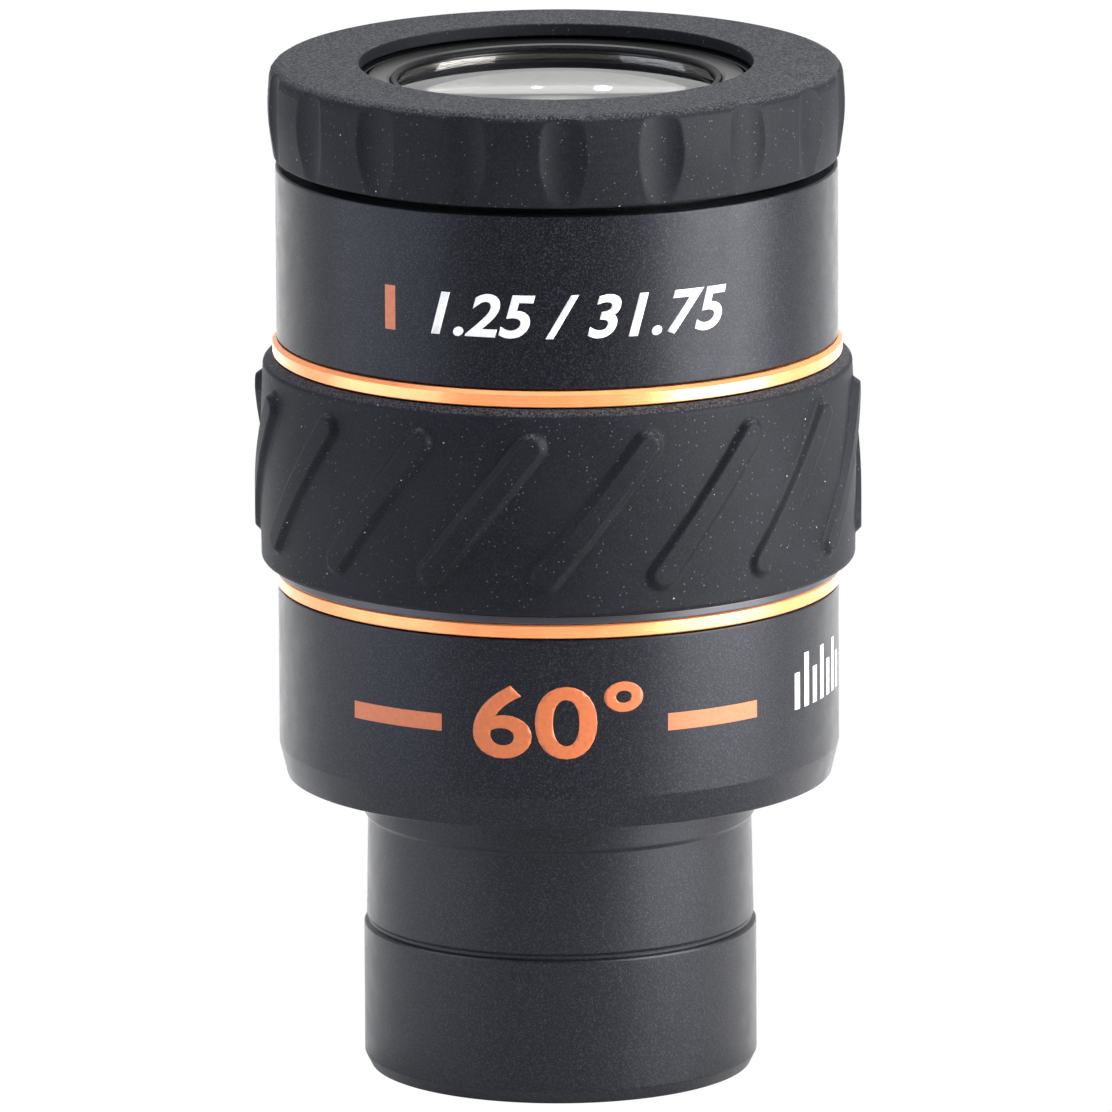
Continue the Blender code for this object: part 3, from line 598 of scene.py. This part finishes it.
def make_grip_band():
    """The slightly barrel-shaped rubber band, whose ribs are part of its one skin."""
    peak, bottom, top = span("grip_band")
    radius, low_radius, high_radius, top_radius, bore = 24.05, 23.95, 23.75, 22.95, 22.7
    reach = RIB_HIGH_Z - RIB_LOW_Z
    lean = math.radians(RIB_LEAN_ANGLE) * radius

    def ribbed(r, z, angle):
        """Columns slant with the ribs, and the skin rises to the peak inside a rib's edge."""
        slanted = angle + RIB_LEAN_ANGLE * (z - RIB_LOW_Z) / reach
        if r < high_radius - 0.3:
            return r, slanted
        period = 360 / RIB_COUNT
        offset = (angle - RIB_LOW_ANGLE + period / 2) % period - period / 2
        along = (z - RIB_LOW_Z) / reach
        x = math.radians(offset) * radius + lean * along
        y = reach * along
        share = max(0.0, min(1.0, (x * lean + y * reach) / (lean * lean + reach * reach)))
        distance = math.hypot(x - lean * share, y - reach * share) - RIB_WIDTH / 2
        rise = max(0.0, min(1.0, 0.5 - (distance + RIB_FLANK / 2) / RIB_FLANK))
        return r + (peak - r) * rise * rise * (3 - 2 * rise), slanted

    corners = [
        (bore, top, 0.1),
        (top_radius, top, 0.1),
        (high_radius, top - 0.55, 0.5),
        (radius, (bottom + top) / 2, 0),
        (low_radius, bottom, 0.4),
        (bore, bottom, 0.1),
    ]
    end = RIB_WIDTH / 2 + 0.1
    heights = levels(
        (RIB_LOW_Z - end, RIB_LOW_Z + end, 0.12),
        (RIB_LOW_Z + end, RIB_HIGH_Z - end, 0.7),
        (RIB_HIGH_Z - end, RIB_HIGH_Z + end, 0.12),
    )
    outline = sliced(rounded(corners), heights, bore + 0.5, peak)
    columns = columns_round(
        RIB_COUNT, RIB_LOW_ANGLE, outer=4.8, inner=1.4, sparse=6, dense=14, middle=5
    )
    stand_in(lathe("grip_rubber", outline, rubber, columns, ribbed), "grip_band")


# Fluted rubber eyecup.

FLUTE_COUNT = 18
FLUTE_FIRST_ANGLE = 1.25
FLUTE_RADIUS = 4.25
FLUTE_DEPTH = 0.5
FLUTE_BLEND = 0.06
CUP_HOLE = 15.85
CUP_INNER = 21.8
CUP_BEAD = 21.3
CUP_TOP_EDGE = 23.0
CUP_FOOT = 22.75
BEAD_Z = 77.3
BEAD_TOP_Z = 78.3


def make_eyecup_rubber():
    """The rubber cup, with a bead inside that snaps onto the carrier."""
    peak, bottom, top = span("eyecup_rubber")
    web = top - 1.0
    centre = peak - FLUTE_DEPTH + FLUTE_RADIUS

    def fluted(r, z, angle):
        """Each flute is scooped by an upright cylinder, and its edges are blended a little."""
        period = 360 / FLUTE_COUNT
        offset = math.radians((angle - FLUTE_FIRST_ANGLE + period / 2) % period - period / 2)
        inside = FLUTE_RADIUS**2 - (centre * math.sin(offset)) ** 2
        if r < CUP_INNER + 0.05 or inside <= 0:
            return r, angle
        scoop = centre * math.cos(offset) - math.sqrt(inside)
        gap = math.sqrt((r - scoop) ** 2 + FLUTE_BLEND**2)
        return (r + scoop - gap) / 2 + FLUTE_BLEND / 2 * math.exp(-abs(r - scoop) * 4), angle

    corners = [
        (CUP_HOLE, top, 0.12),
        (CUP_TOP_EDGE, top, 1.1),
        (peak + 0.1, bottom + 3.75, 15.0),
        (CUP_FOOT, bottom, 0.35),
        (CUP_INNER, bottom, 0.1),
        (CUP_INNER, BEAD_Z, 0),
        (CUP_BEAD, BEAD_Z, 0.15),
        (CUP_BEAD, BEAD_TOP_Z, 0.15),
        (CUP_INNER, BEAD_TOP_Z, 0),
        (CUP_INNER, web, 0.2),
        (CUP_HOLE, web, 0.1),
    ]
    outline = sliced(rounded(corners), levels((bottom, top, 0.22)), CUP_INNER + 0.1, peak + 1)
    columns = columns_round(
        FLUTE_COUNT, FLUTE_FIRST_ANGLE, outer=5.6, inner=3.2, sparse=5, dense=10, middle=8
    )
    piece = lathe("eyecup_skin", outline, rubber, columns, fluted)
    stand_in(piece, "eyecup_rubber", "eyecup")


def make_eyecup_carrier():
    """The ring that the rubber snaps onto, by its bead in the carrier's groove."""
    radius, bottom, top = span("eyecup_carrier")
    bore, groove = 19.9, CUP_BEAD - 0.3
    groove_low, groove_high = BEAD_Z - 0.3, BEAD_TOP_Z + 0.3
    corners = [
        (bore, top, 0.15),
        (radius, top, 0.3),
        (radius, groove_high, 0.1),
        (groove, groove_high, 0.1),
        (groove, groove_low, 0.1),
        (radius, groove_low, 0.1),
        (radius, bottom, 0.3),
        (bore, bottom, 0.15),
    ]
    piece = lathe("eyecup_carrier_ring", rounded(corners), black_low)
    stand_in(piece, "eyecup_carrier", "eyecup")


PIN_ANGLES = (180.0, 300.0, 60.0)
GUIDE_GROOVE_RADIUS = 1.2
GUIDE_GROOVE_OVERRUN = 0.038


def make_eyecup_sleeve():
    """The sleeve, with the three round-bottomed helical grooves that the guide pins run in."""
    radius, bottom, top = span("eyecup_sleeve")
    bore, seal_root, seal_low, seal_high = 17.7, 18.95, 62.2, 63.7
    pin_z = sum(span("guide_pin_1")[1:]) / 2
    rise = frame["joints"][0]["range_m"][1] / MM
    turn = frame["joints"][1]["range_deg"][1]
    slope = rise / (math.radians(turn) * bore)
    far_side = (1 + 360 / turn) / 2

    def grooved(r, z, angle):
        """The bore is cut back near a groove's path, along which share goes from 0 to 1."""
        if r > bore + 1e-6:
            return r, angle
        for start in PIN_ANGLES:
            share = ((start - angle) % 360) / turn
            share = share - 360 / turn if share > far_side else share
            inside = min(max(share, -GUIDE_GROOVE_OVERRUN), 1 + GUIDE_GROOVE_OVERRUN)
            away_z = z - (pin_z - inside * rise)
            away_x = math.radians((share - inside) * turn) * bore
            distance = math.hypot(away_z / math.hypot(1, slope), away_x)
            if distance < GUIDE_GROOVE_RADIUS:
                return bore + math.sqrt(GUIDE_GROOVE_RADIUS**2 - distance**2), angle
        return r, angle

    corners = [
        (bore, top, 0.15),
        (radius, top, 0.2),
        (radius, seal_high, 0.08),
        (seal_root, seal_high, 0.1),
        (seal_root, seal_low, 0.1),
        (radius, seal_low, 0.08),
        (radius, bottom, 0.2),
        (bore, bottom, 0.15),
    ]
    outline = sliced(rounded(corners), levels((bottom, top, 0.3)), bore - 0.1, bore + 0.1)
    piece = lathe("eyecup_sleeve_tube", outline, satin_black, shape=grooved)
    stand_in(piece, "eyecup_sleeve", "eyecup")


def make_friction_ring(steps=16):
    radius, bottom, top = span("sleeve_friction_ring")
    minor = (top - bottom) / 2
    outline = []
    for k in range(steps):
        turn = math.tau * -k / steps
        out, up = minor * math.cos(turn), minor * math.sin(turn)
        outline.append((radius - minor + out, bottom + minor + up))
    stand_in(lathe("friction_o_ring", outline, rubber), "sleeve_friction_ring", "friction_ring")


# Lens barrel, its retaining ring and the optics.


def make_lens_barrel():
    """The tube that holds the glass, with a collar outside and a ledge for the glass inside."""
    collar, bottom, top = span("lens_barrel")
    radius, collar_low, collar_high = 17.35, 53.6, 59.5
    ledge_bore, ledge, bore, ring_bore, ring_seat = 12.2, 57.3, 13.9, 15.5, 79.0
    corners = [
        (ring_bore, top, 0.15),
        (radius, top, 0.25),
        (radius, collar_high, 0),
        (collar, collar_high, 0.15),
        (collar, collar_low, 0.15),
        (radius, collar_low, 0),
        (radius, bottom, 0.2),
        (ledge_bore, bottom, 0.2),
        (ledge_bore, ledge, 0.1),
        (bore, ledge, 0),
        (bore, ring_seat, 0.1),
        (ring_bore, ring_seat, 0),
    ]
    stand_in(lathe("lens_barrel_tube", rounded(corners), barrel_black), "lens_barrel")


def make_retaining_ring():
    """Satin outer flat, a fine turned groove, then a dark bevelled lip down to the glass."""
    radius, bottom, top = span("lens_retaining_ring")
    seat, lip, lip_bottom = 13.9, 12.75, top - 0.45
    flat_bore, lip_outer = 13.3, 13.28
    outer = [
        (flat_bore + 0.25, top - 0.06, 0.04),
        (flat_bore + 0.32, top, 0.04),
        (radius, top, 0.12),
        (radius, bottom, 0.1),
        (seat, bottom, 0),
        (seat, lip_bottom, 0),
        (flat_bore, lip_bottom, 0),
        (flat_bore, top - 0.25, 0),
    ]
    inner = [
        (lip, top - 0.2, 0.08),
        (lip + 0.15, top - 0.05, 0.06),
        (lip_outer, top - 0.05, 0.05),
        (lip_outer, lip_bottom, 0),
        (lip, lip_bottom, 0.08),
    ]
    ring = lathe("retaining_ring_flat", rounded(outer), aluminium)
    liner = lathe("retaining_ring_lip", rounded(inner), lip_black)
    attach(ring, "barrel")
    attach(liner, "barrel")
    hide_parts("lens_retaining_ring")


def sag(curve, radius):
    """How far a lens surface with this radius of curvature falls between its apex and its edge."""
    return abs(curve) - math.sqrt(curve * curve - radius * radius)


def spherical(apex, curve, radius, rings=14):
    """Points of a lens surface from the axis outwards. A positive curve falls towards the edge."""
    points = []
    for k in range(rings + 1):
        r = radius * k / rings
        points.append((r, apex - math.copysign(sag(curve, r), curve)))
    return points


def make_lens(node, material, top_curve, bottom_curve=None):
    """A lens with these radii of curvature, or with a flat bottom where it has no bottom curve."""
    radius, low, high = span(node)
    top = spherical(high if top_curve > 0 else high - sag(top_curve, radius), top_curve, radius)
    if bottom_curve is None:
        bottom = [(0, low), (radius, low)]
    else:
        apex = low if bottom_curve < 0 else low + sag(bottom_curve, radius)
        bottom = spherical(apex, bottom_curve, radius)
    piece = lathe(node + "_glass", top + bottom[::-1], material, closed=False)
    stand_in(piece, node)


def make_optics():
    make_lens("eye_lens", glass_eye, top_curve=150.0)
    make_lens("eye_doublet_crown", glass_inner, top_curve=40.0, bottom_curve=-22.0)
    make_lens("eye_doublet_flint", glass_inner, top_curve=-22.0)
    make_lens("inner_singlet", glass_inner, top_curve=60.0)
    make_lens("field_doublet_inner", glass_inner, top_curve=-45.0, bottom_curve=30.0)
    make_lens("field_doublet_outer", glass_field, top_curve=30.0)


def make_matte_ring(node, corners):
    stand_in(lathe(node + "_turned", rounded(corners), matte), node)


def make_plain_ring(node, bore, edge=0.1):
    radius, low, high = span(node)
    corners = [(bore, high, edge), (radius, high, edge), (radius, low, edge), (bore, low, edge)]
    make_matte_ring(node, corners)


def make_glare_baffle():
    radius, low, high = span("glare_baffle")
    wall, opening = 16.6, 12.2
    corners = [
        (wall, high, 0.1),
        (radius, high, 0.1),
        (radius, low, 0.1),
        (opening, low, 0),
        (opening - 0.2, low + 0.3, 0),
        (wall, low + 1.2, 0.2),
    ]
    make_matte_ring("glare_baffle", corners)


def make_field_stop():
    radius, low, high = span("field_stop")
    wall, opening = 12.0, 9.2
    corners = [
        (wall, high, 0.1),
        (radius, high, 0.1),
        (radius, low, 0.1),
        (opening, low, 0),
        (opening, low + 0.2, 0),
    ]
    make_matte_ring("field_stop", corners)


def make_field_lens_cell():
    radius, low, high = span("field_lens_cell")
    inner, lip, shoulder = 12.5, 11.4, high - 1.0
    corners = [
        (lip, high, 0.1),
        (radius, high, 0.15),
        (radius, low, 0.15),
        (inner, low, 0.15),
        (inner, shoulder, 0),
        (lip, shoulder, 0.1),
    ]
    make_matte_ring("field_lens_cell", corners)


def make_inner_rings():
    """Spacers, lock ring, baffle, field stop and the field lens cell."""
    make_plain_ring("upper_spacer_ring", 12.6)
    make_plain_ring("middle_spacer_ring", 12.4)
    make_plain_ring("nosepiece_lock_ring", 15.3, 0.2)
    make_plain_ring("field_lens_retaining_ring", 11.3)
    make_glare_baffle()
    make_field_stop()
    make_field_lens_cell()


def finish_small_metal():
    """The guide pins and set screws keep their CAD shapes and get a ground finish."""
    for node in frame["nodes"].values():
        if node.name.startswith(("guide_pin", "set_screw")):
            node.data.materials.clear()
            node.data.materials.append(steel)


# Printed marks, generic numerals and lines only.

INK_LIFT = 0.02
INK_COLUMN = 0.25
INK_HALF_WIDTH = 20.0


def wrap_ink(bm, angle, height, radius, widen=1.0):
    """Bends flat artwork in millimetres round the axis and gives it the thickness of ink."""
    reach = round(INK_HALF_WIDTH / INK_COLUMN)
    for k in range(-reach, reach + 1):
        geometry = bm.verts[:] + bm.edges[:] + bm.faces[:]
        place = (INK_COLUMN * k, 0, 0)
        bmesh.ops.bisect_plane(bm, geom=geometry, dist=1e-6, plane_co=place, plane_no=(1, 0, 0))
    extruded = bmesh.ops.extrude_face_region(bm, geom=bm.faces[:])
    raised = {v for v in extruded["geom"] if isinstance(v, bmesh.types.BMVert)}
    for vert in bm.verts:
        around = angle + math.degrees(vert.co.x * widen / radius)
        out = radius + INK_LIFT if vert in raised else radius - INK_LIFT
        vert.co = facing(around, out, height + vert.co.y)
    bmesh.ops.recalc_face_normals(bm, faces=bm.faces)


def ink_piece(name, bm, ink):
    mesh = bpy.data.meshes.new(name)
    bm.to_mesh(mesh)
    bm.free()
    mesh.materials.append(ink)
    piece = bpy.data.objects.new(name, mesh)
    bpy.context.scene.collection.objects.link(piece)
    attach(piece, "barrel")


def numerals(name, text, ink, radius, size, angle, height, shear=0.0, widen=1.0):
    """Numerals wrapped round the housing at this angle, standing a hair proud of it."""
    curve = bpy.data.curves.new(name, "FONT")
    curve.body = text
    curve.size = size
    curve.shear = shear
    curve.align_x = "CENTER"
    curve.align_y = "CENTER"
    curve.offset = 0.02 * size
    curve.resolution_u = 6
    flat = bpy.data.objects.new(name, curve)
    bm = bmesh.new()
    bm.from_mesh(bpy.data.meshes.new_from_object(flat))
    bpy.data.objects.remove(flat)
    bmesh.ops.remove_doubles(bm, verts=bm.verts, dist=1e-4)
    wrap_ink(bm, angle, height, radius, widen)
    ink_piece(name, bm, ink)


def bars(name, sizes, ink, radius, angle, height):
    """Plain printed bars, each (centre x, centre y, width, height) in millimetres."""
    bm = bmesh.new()
    for x, y, wide, tall in sizes:
        left, right = x - wide / 2, x + wide / 2
        low, high = y - tall / 2, y + tall / 2
        corners = [(left, low, 0), (right, low, 0), (right, high, 0), (left, high, 0)]
        bm.faces.new([bm.verts.new(c) for c in corners])
    wrap_ink(bm, angle, height, radius)
    ink_piece(name, bm, ink)


UPPER_MARK_Z = 65.9
INDEX_BAR = (0, 0, 1.0, 3.6)
FIELD_ANGLE_Z = 32.7
FIELD_ANGLE_LINES = ((-13.4, 0, 8.6, 1.4), (13.8, 0, 8.6, 1.4))
TICK_PITCH = 1.5
TICK_WIDTH = 0.75
SHORT_TICK = 3.0
LONG_TICK = 4.4


def ticks():
    """Seven upright bars on one base line, every other one long."""
    for k in range(-3, 4):
        tall = SHORT_TICK if k % 2 else LONG_TICK
        yield TICK_PITCH * k, (tall - SHORT_TICK) / 2, TICK_WIDTH, tall


def make_marks():
    upper = span("upper_housing")[0]
    lower = span("lower_housing")[0]
    numerals(
        "numeral_barrel_sizes",
        "1.25 / 31.75",
        white_ink,
        upper,
        size=4.8,
        angle=3.2,
        height=UPPER_MARK_Z,
        shear=0.25,
        widen=1.1,
    )
    bars("index_bar", [INDEX_BAR], orange_ink, upper, angle=-36.0, height=UPPER_MARK_Z + 0.2)
    numerals(
        "numeral_field_angle",
        "60°",
        orange_ink,
        lower,
        size=8.0,
        angle=0.0,
        height=FIELD_ANGLE_Z,
        widen=1.3,
    )
    bars("field_angle_lines", FIELD_ANGLE_LINES, orange_ink, lower, angle=-1.5, height=FIELD_ANGLE_Z)
    bars("side_ticks", ticks(), white_ink, lower, angle=69.0, height=FIELD_ANGLE_Z + 0.5)


# Studio.

TARGET_Z = 41.72
CAMERA_DISTANCE = 1.71
CAMERA_ELEVATION = 12.38
CAMERA_ROLL = -0.29
CAMERA_LENS = 686.0
SIDE_SHIFT = -0.2

# The strength of the surround, and the lamps' sizes and places in metres.
WORLD_FRONT = 0.25
WORLD_BACK = 0.88
SOFTBOX_DISTANCE = 0.22
SOFTBOX_HEIGHT = 0.25
RIGHT_AZIMUTH = 66
LEFT_AZIMUTH = -72
WARM_WHITE = (1.0, 0.98, 0.95)
COOL_WHITE = (0.84, 0.88, 1.0)
SPOT_ANGLE = 44.0
SPOT_POWER = 300.0
SPOT_PLACE = Vector((0, 0.6, 1.2))
SPOT_AIM = Vector((0, 0.42, 0))
TOP_LIGHT_SIDE = 0.54
TOP_LIGHT_RADIANCE = 1.25
TOP_LIGHT_PLACE = Vector((0, -0.05, 0.5))
GLINT_WIDTH = 0.008
GLINT_HEIGHT = 0.035
GLINT_RADIANCE = 12.0
GLINT_OFFSET = Vector((0.0215, 1.3, 0.323))
FLOOR_GAP = 0.05
FLOOR_HALF_SIDE = 6.0
PAPER_DARK = 0.39
PAPER_PALE = 0.41
PAPER_GLOW = 0.42


def make_camera():
    data = bpy.data.cameras.new("camera")
    data.sensor_width = 36.0
    data.lens = CAMERA_LENS
    data.clip_start = 0.1
    data.clip_end = 20.0
    camera = bpy.data.objects.new("camera", data)
    bpy.context.scene.collection.objects.link(camera)
    rise = math.radians(CAMERA_ELEVATION)
    target = Vector((SIDE_SHIFT * MM, 0, TARGET_Z * MM))
    camera.location = target + CAMERA_DISTANCE * Vector((0, -math.cos(rise), math.sin(rise)))
    look = (target - camera.location).to_track_quat("-Z", "Y").to_matrix().to_4x4()
    turn = look @ Matrix.Rotation(math.radians(CAMERA_ROLL), 4, "Z")
    camera.rotation_euler = turn.to_euler()
    bpy.context.scene.camera = camera


def add_lamp(name, data, place, aim):
    lamp = bpy.data.objects.new(name, data)
    bpy.context.scene.collection.objects.link(lamp)
    lamp.location = place
    lamp.rotation_euler = (aim - place).to_track_quat("-Z", "Y").to_euler()
    lamp.visible_camera = False
    return lamp


def softbox(name, azimuth, width, radiance, colour):
    """An upright lamp standing on the floor. Its radiance is what a mirror facing it would show."""
    data = bpy.data.lights.new(name, "AREA")
    data.color = colour
    data.shape = "RECTANGLE"
    data.size, data.size_y = width, SOFTBOX_HEIGHT
    data.energy = radiance * math.pi * width * SOFTBOX_HEIGHT
    middle = SOFTBOX_HEIGHT / 2 / MM
    add_lamp(name, data, facing(azimuth, SOFTBOX_DISTANCE / MM, middle), facing(0, 0, middle))


def top_light():
    data = bpy.data.lights.new("softbox_top", "AREA")
    data.size = TOP_LIGHT_SIDE
    data.energy = TOP_LIGHT_RADIANCE * math.pi * TOP_LIGHT_SIDE**2
    add_lamp("softbox_top", data, TOP_LIGHT_PLACE, Vector((0, 0, 0)))


def lens_glint():
    """A small far lamp behind the eyepiece, whose reflection is the bright spot on the eye lens."""
    data = bpy.data.lights.new("lens_glint", "AREA")
    data.shape = "ELLIPSE"
    data.size, data.size_y = GLINT_WIDTH, GLINT_HEIGHT
    data.energy = GLINT_RADIANCE * math.pi * math.pi / 4 * GLINT_WIDTH * GLINT_HEIGHT
    top = Vector((0, 0, cad_box[1].z))
    add_lamp("lens_glint", data, top + GLINT_OFFSET, top)


def backdrop_spot(floor):
    """Lights the floor behind the eyepiece, which its outer edges reflect, and nothing else."""
    data = bpy.data.lights.new("backdrop_spot", "SPOT")
    data.spot_size = math.radians(SPOT_ANGLE)
    data.spot_blend = 0.8
    data.shadow_soft_size = 0.1
    data.energy = SPOT_POWER
    lamp = add_lamp("backdrop_spot", data, SPOT_PLACE, SPOT_AIM)
    lit = bpy.data.collections.new("lit_by_backdrop_spot")
    lit.objects.link(floor)
    lamp.light_linking.receiver_collection = lit


def make_world(scene):
    """A white surround that lights the object more from behind than from the front."""
    world = bpy.data.worlds.new("studio")
    world.use_nodes = True
    nodes, links = world.node_tree.nodes, world.node_tree.links
    surround = nodes["Background"]
    place = nodes.new("ShaderNodeTexCoord")
    parts = nodes.new("ShaderNodeSeparateXYZ")
    links.new(place.outputs["Generated"], parts.inputs[0])
    ramp = nodes.new("ShaderNodeMapRange")
    ramp.inputs["From Min"].default_value = -1.0
    ramp.inputs["To Min"].default_value = WORLD_FRONT
    ramp.inputs["To Max"].default_value = WORLD_BACK
    links.new(parts.outputs["Y"], ramp.inputs["Value"])
    surround.inputs["Color"].default_value = (1.0, 1.0, 1.0, 1.0)
    links.new(ramp.outputs["Result"], surround.inputs["Strength"])
    backdrop = nodes.new("ShaderNodeBackground")
    backdrop.inputs["Color"].default_value = (1.0, 1.0, 1.0, 1.0)
    path = nodes.new("ShaderNodeLightPath")
    mix = nodes.new("ShaderNodeMixShader")
    links.new(path.outputs["Is Camera Ray"], mix.inputs["Fac"])
    links.new(surround.outputs["Background"], mix.inputs[1])
    links.new(backdrop.outputs["Background"], mix.inputs[2])
    links.new(mix.outputs["Shader"], nodes["World Output"].inputs["Surface"])
    scene.world = world


def make_floor(scene):
    """A white sweep that is pure white to the eye and see-through from below."""
    bm = bmesh.new()
    bmesh.ops.create_grid(bm, x_segments=8, y_segments=8, size=FLOOR_HALF_SIDE)
    mesh = bpy.data.meshes.new("floor")
    bm.to_mesh(mesh)
    bm.free()
    floor = bpy.data.objects.new("floor", mesh)
    floor.location.z = -FLOOR_GAP * MM
    scene.collection.objects.link(floor)
    paper = Shader("white_sweep", (PAPER_PALE,) * 3, 0.8)
    paper.set("Specular IOR Level", 0.0)
    paper.set("Emission Color", (1.0, 1.0, 1.0, 1.0)).set("Emission Strength", PAPER_GLOW)
    paper.colour(paper.mixed(paper.noise(0.4), (PAPER_DARK,) * 3, (PAPER_PALE,) * 3))
    lit = paper.nodes.new("ShaderNodeEmission")
    path = paper.nodes.new("ShaderNodeLightPath")
    mix = paper.nodes.new("ShaderNodeMixShader")
    paper.links.new(path.outputs["Is Camera Ray"], mix.inputs["Fac"])
    paper.links.new(paper.base.outputs["BSDF"], mix.inputs[1])
    paper.links.new(lit.outputs["Emission"], mix.inputs[2])
    clear = paper.nodes.new("ShaderNodeBsdfTransparent")
    side = paper.nodes.new("ShaderNodeNewGeometry")
    sided = paper.nodes.new("ShaderNodeMixShader")
    paper.links.new(side.outputs["Backfacing"], sided.inputs["Fac"])
    paper.links.new(mix.outputs["Shader"], sided.inputs[1])
    paper.links.new(clear.outputs["BSDF"], sided.inputs[2])
    paper.links.new(sided.outputs["Shader"], paper.nodes["Material Output"].inputs["Surface"])
    mesh.materials.append(paper.material)
    return floor


def make_studio():
    """Strong light from the right, weak light from the left, and a bright white surround."""
    scene = bpy.context.scene
    scene.view_settings.view_transform = "Standard"
    make_world(scene)
    softbox("softbox_right", RIGHT_AZIMUTH, width=0.19, radiance=14.5, colour=WARM_WHITE)
    softbox("softbox_left", LEFT_AZIMUTH, width=0.22, radiance=3.3, colour=COOL_WHITE)
    top_light()
    lens_glint()
    backdrop_spot(make_floor(scene))


# Finishes and assembly.

black_top = anodised_black("anodised_upper", (0.0012, 0.0015, 0.003), 0.01)
black_low = anodised_black("anodised_lower", (0.0014, 0.0016, 0.0034), 0.01, 0.25)
# Lighter tint and more gloss than the other blacks: painted light, a lit copy for the light the grip
# core's flange catches from the left.
black_flange = anodised_black("anodised_flange", (0.014, 0.0125, 0.017), 0.006, 0.6)
# Lighter tint and more gloss than the housings: painted light, a lit copy for the bright floor close
# to the nosepiece.
black_nose = anodised_black("anodised_nosepiece", (0.002, 0.0022, 0.0035), 0.012, 0.3)
satin_black = anodised_black("anodised_sleeve", (0.006, 0.006, 0.008), 0.003)
barrel_black = anodised_black("anodised_barrel", (0.005, 0.005, 0.006), 0.004)
lip_black = anodised_black("polished_lip", (0.003, 0.003, 0.003), 0.001, 0.1)
matte = matte_black("matte_inside")
rubber = moulded_rubber("moulded_rubber")
orange = anodised_orange("anodised_orange")
aluminium = turned_metal("satin_aluminium", (0.12, 0.12, 0.122))
steel = ground_steel("ground_steel")
glass_eye = coated_glass("eye_glass", (0.93, 0.93, 0.9))
# Its grey matte tint is painted light, for the veil of light shining up through the lenses.
glass_inner = stacked_glass("inner_glass", (0.12, 0.116, 0.1))
glass_field = coated_glass("field_glass", (0.9, 0.95, 0.93))
white_ink = printed_ink("white_ink", (0.66, 0.67, 0.69))
orange_ink = printed_ink("orange_ink", (0.42, 0.105, 0.03))

make_camera()
make_studio()
make_nosepiece()
make_lower_housing()
make_upper_housing()
make_accent_ring("lower_accent_ring", HOUSING_BORE, top_chamfer=0.12, bottom_chamfer=0.1)
make_accent_ring("upper_accent_ring", CUP_BORE, top_chamfer=0.3, bottom_chamfer=0.08)
make_grip_core()
make_grip_band()
make_eyecup_rubber()
make_eyecup_carrier()
make_eyecup_sleeve()
make_friction_ring()
make_lens_barrel()
make_retaining_ring()
make_optics()
make_inner_rings()
finish_small_metal()
make_marks()
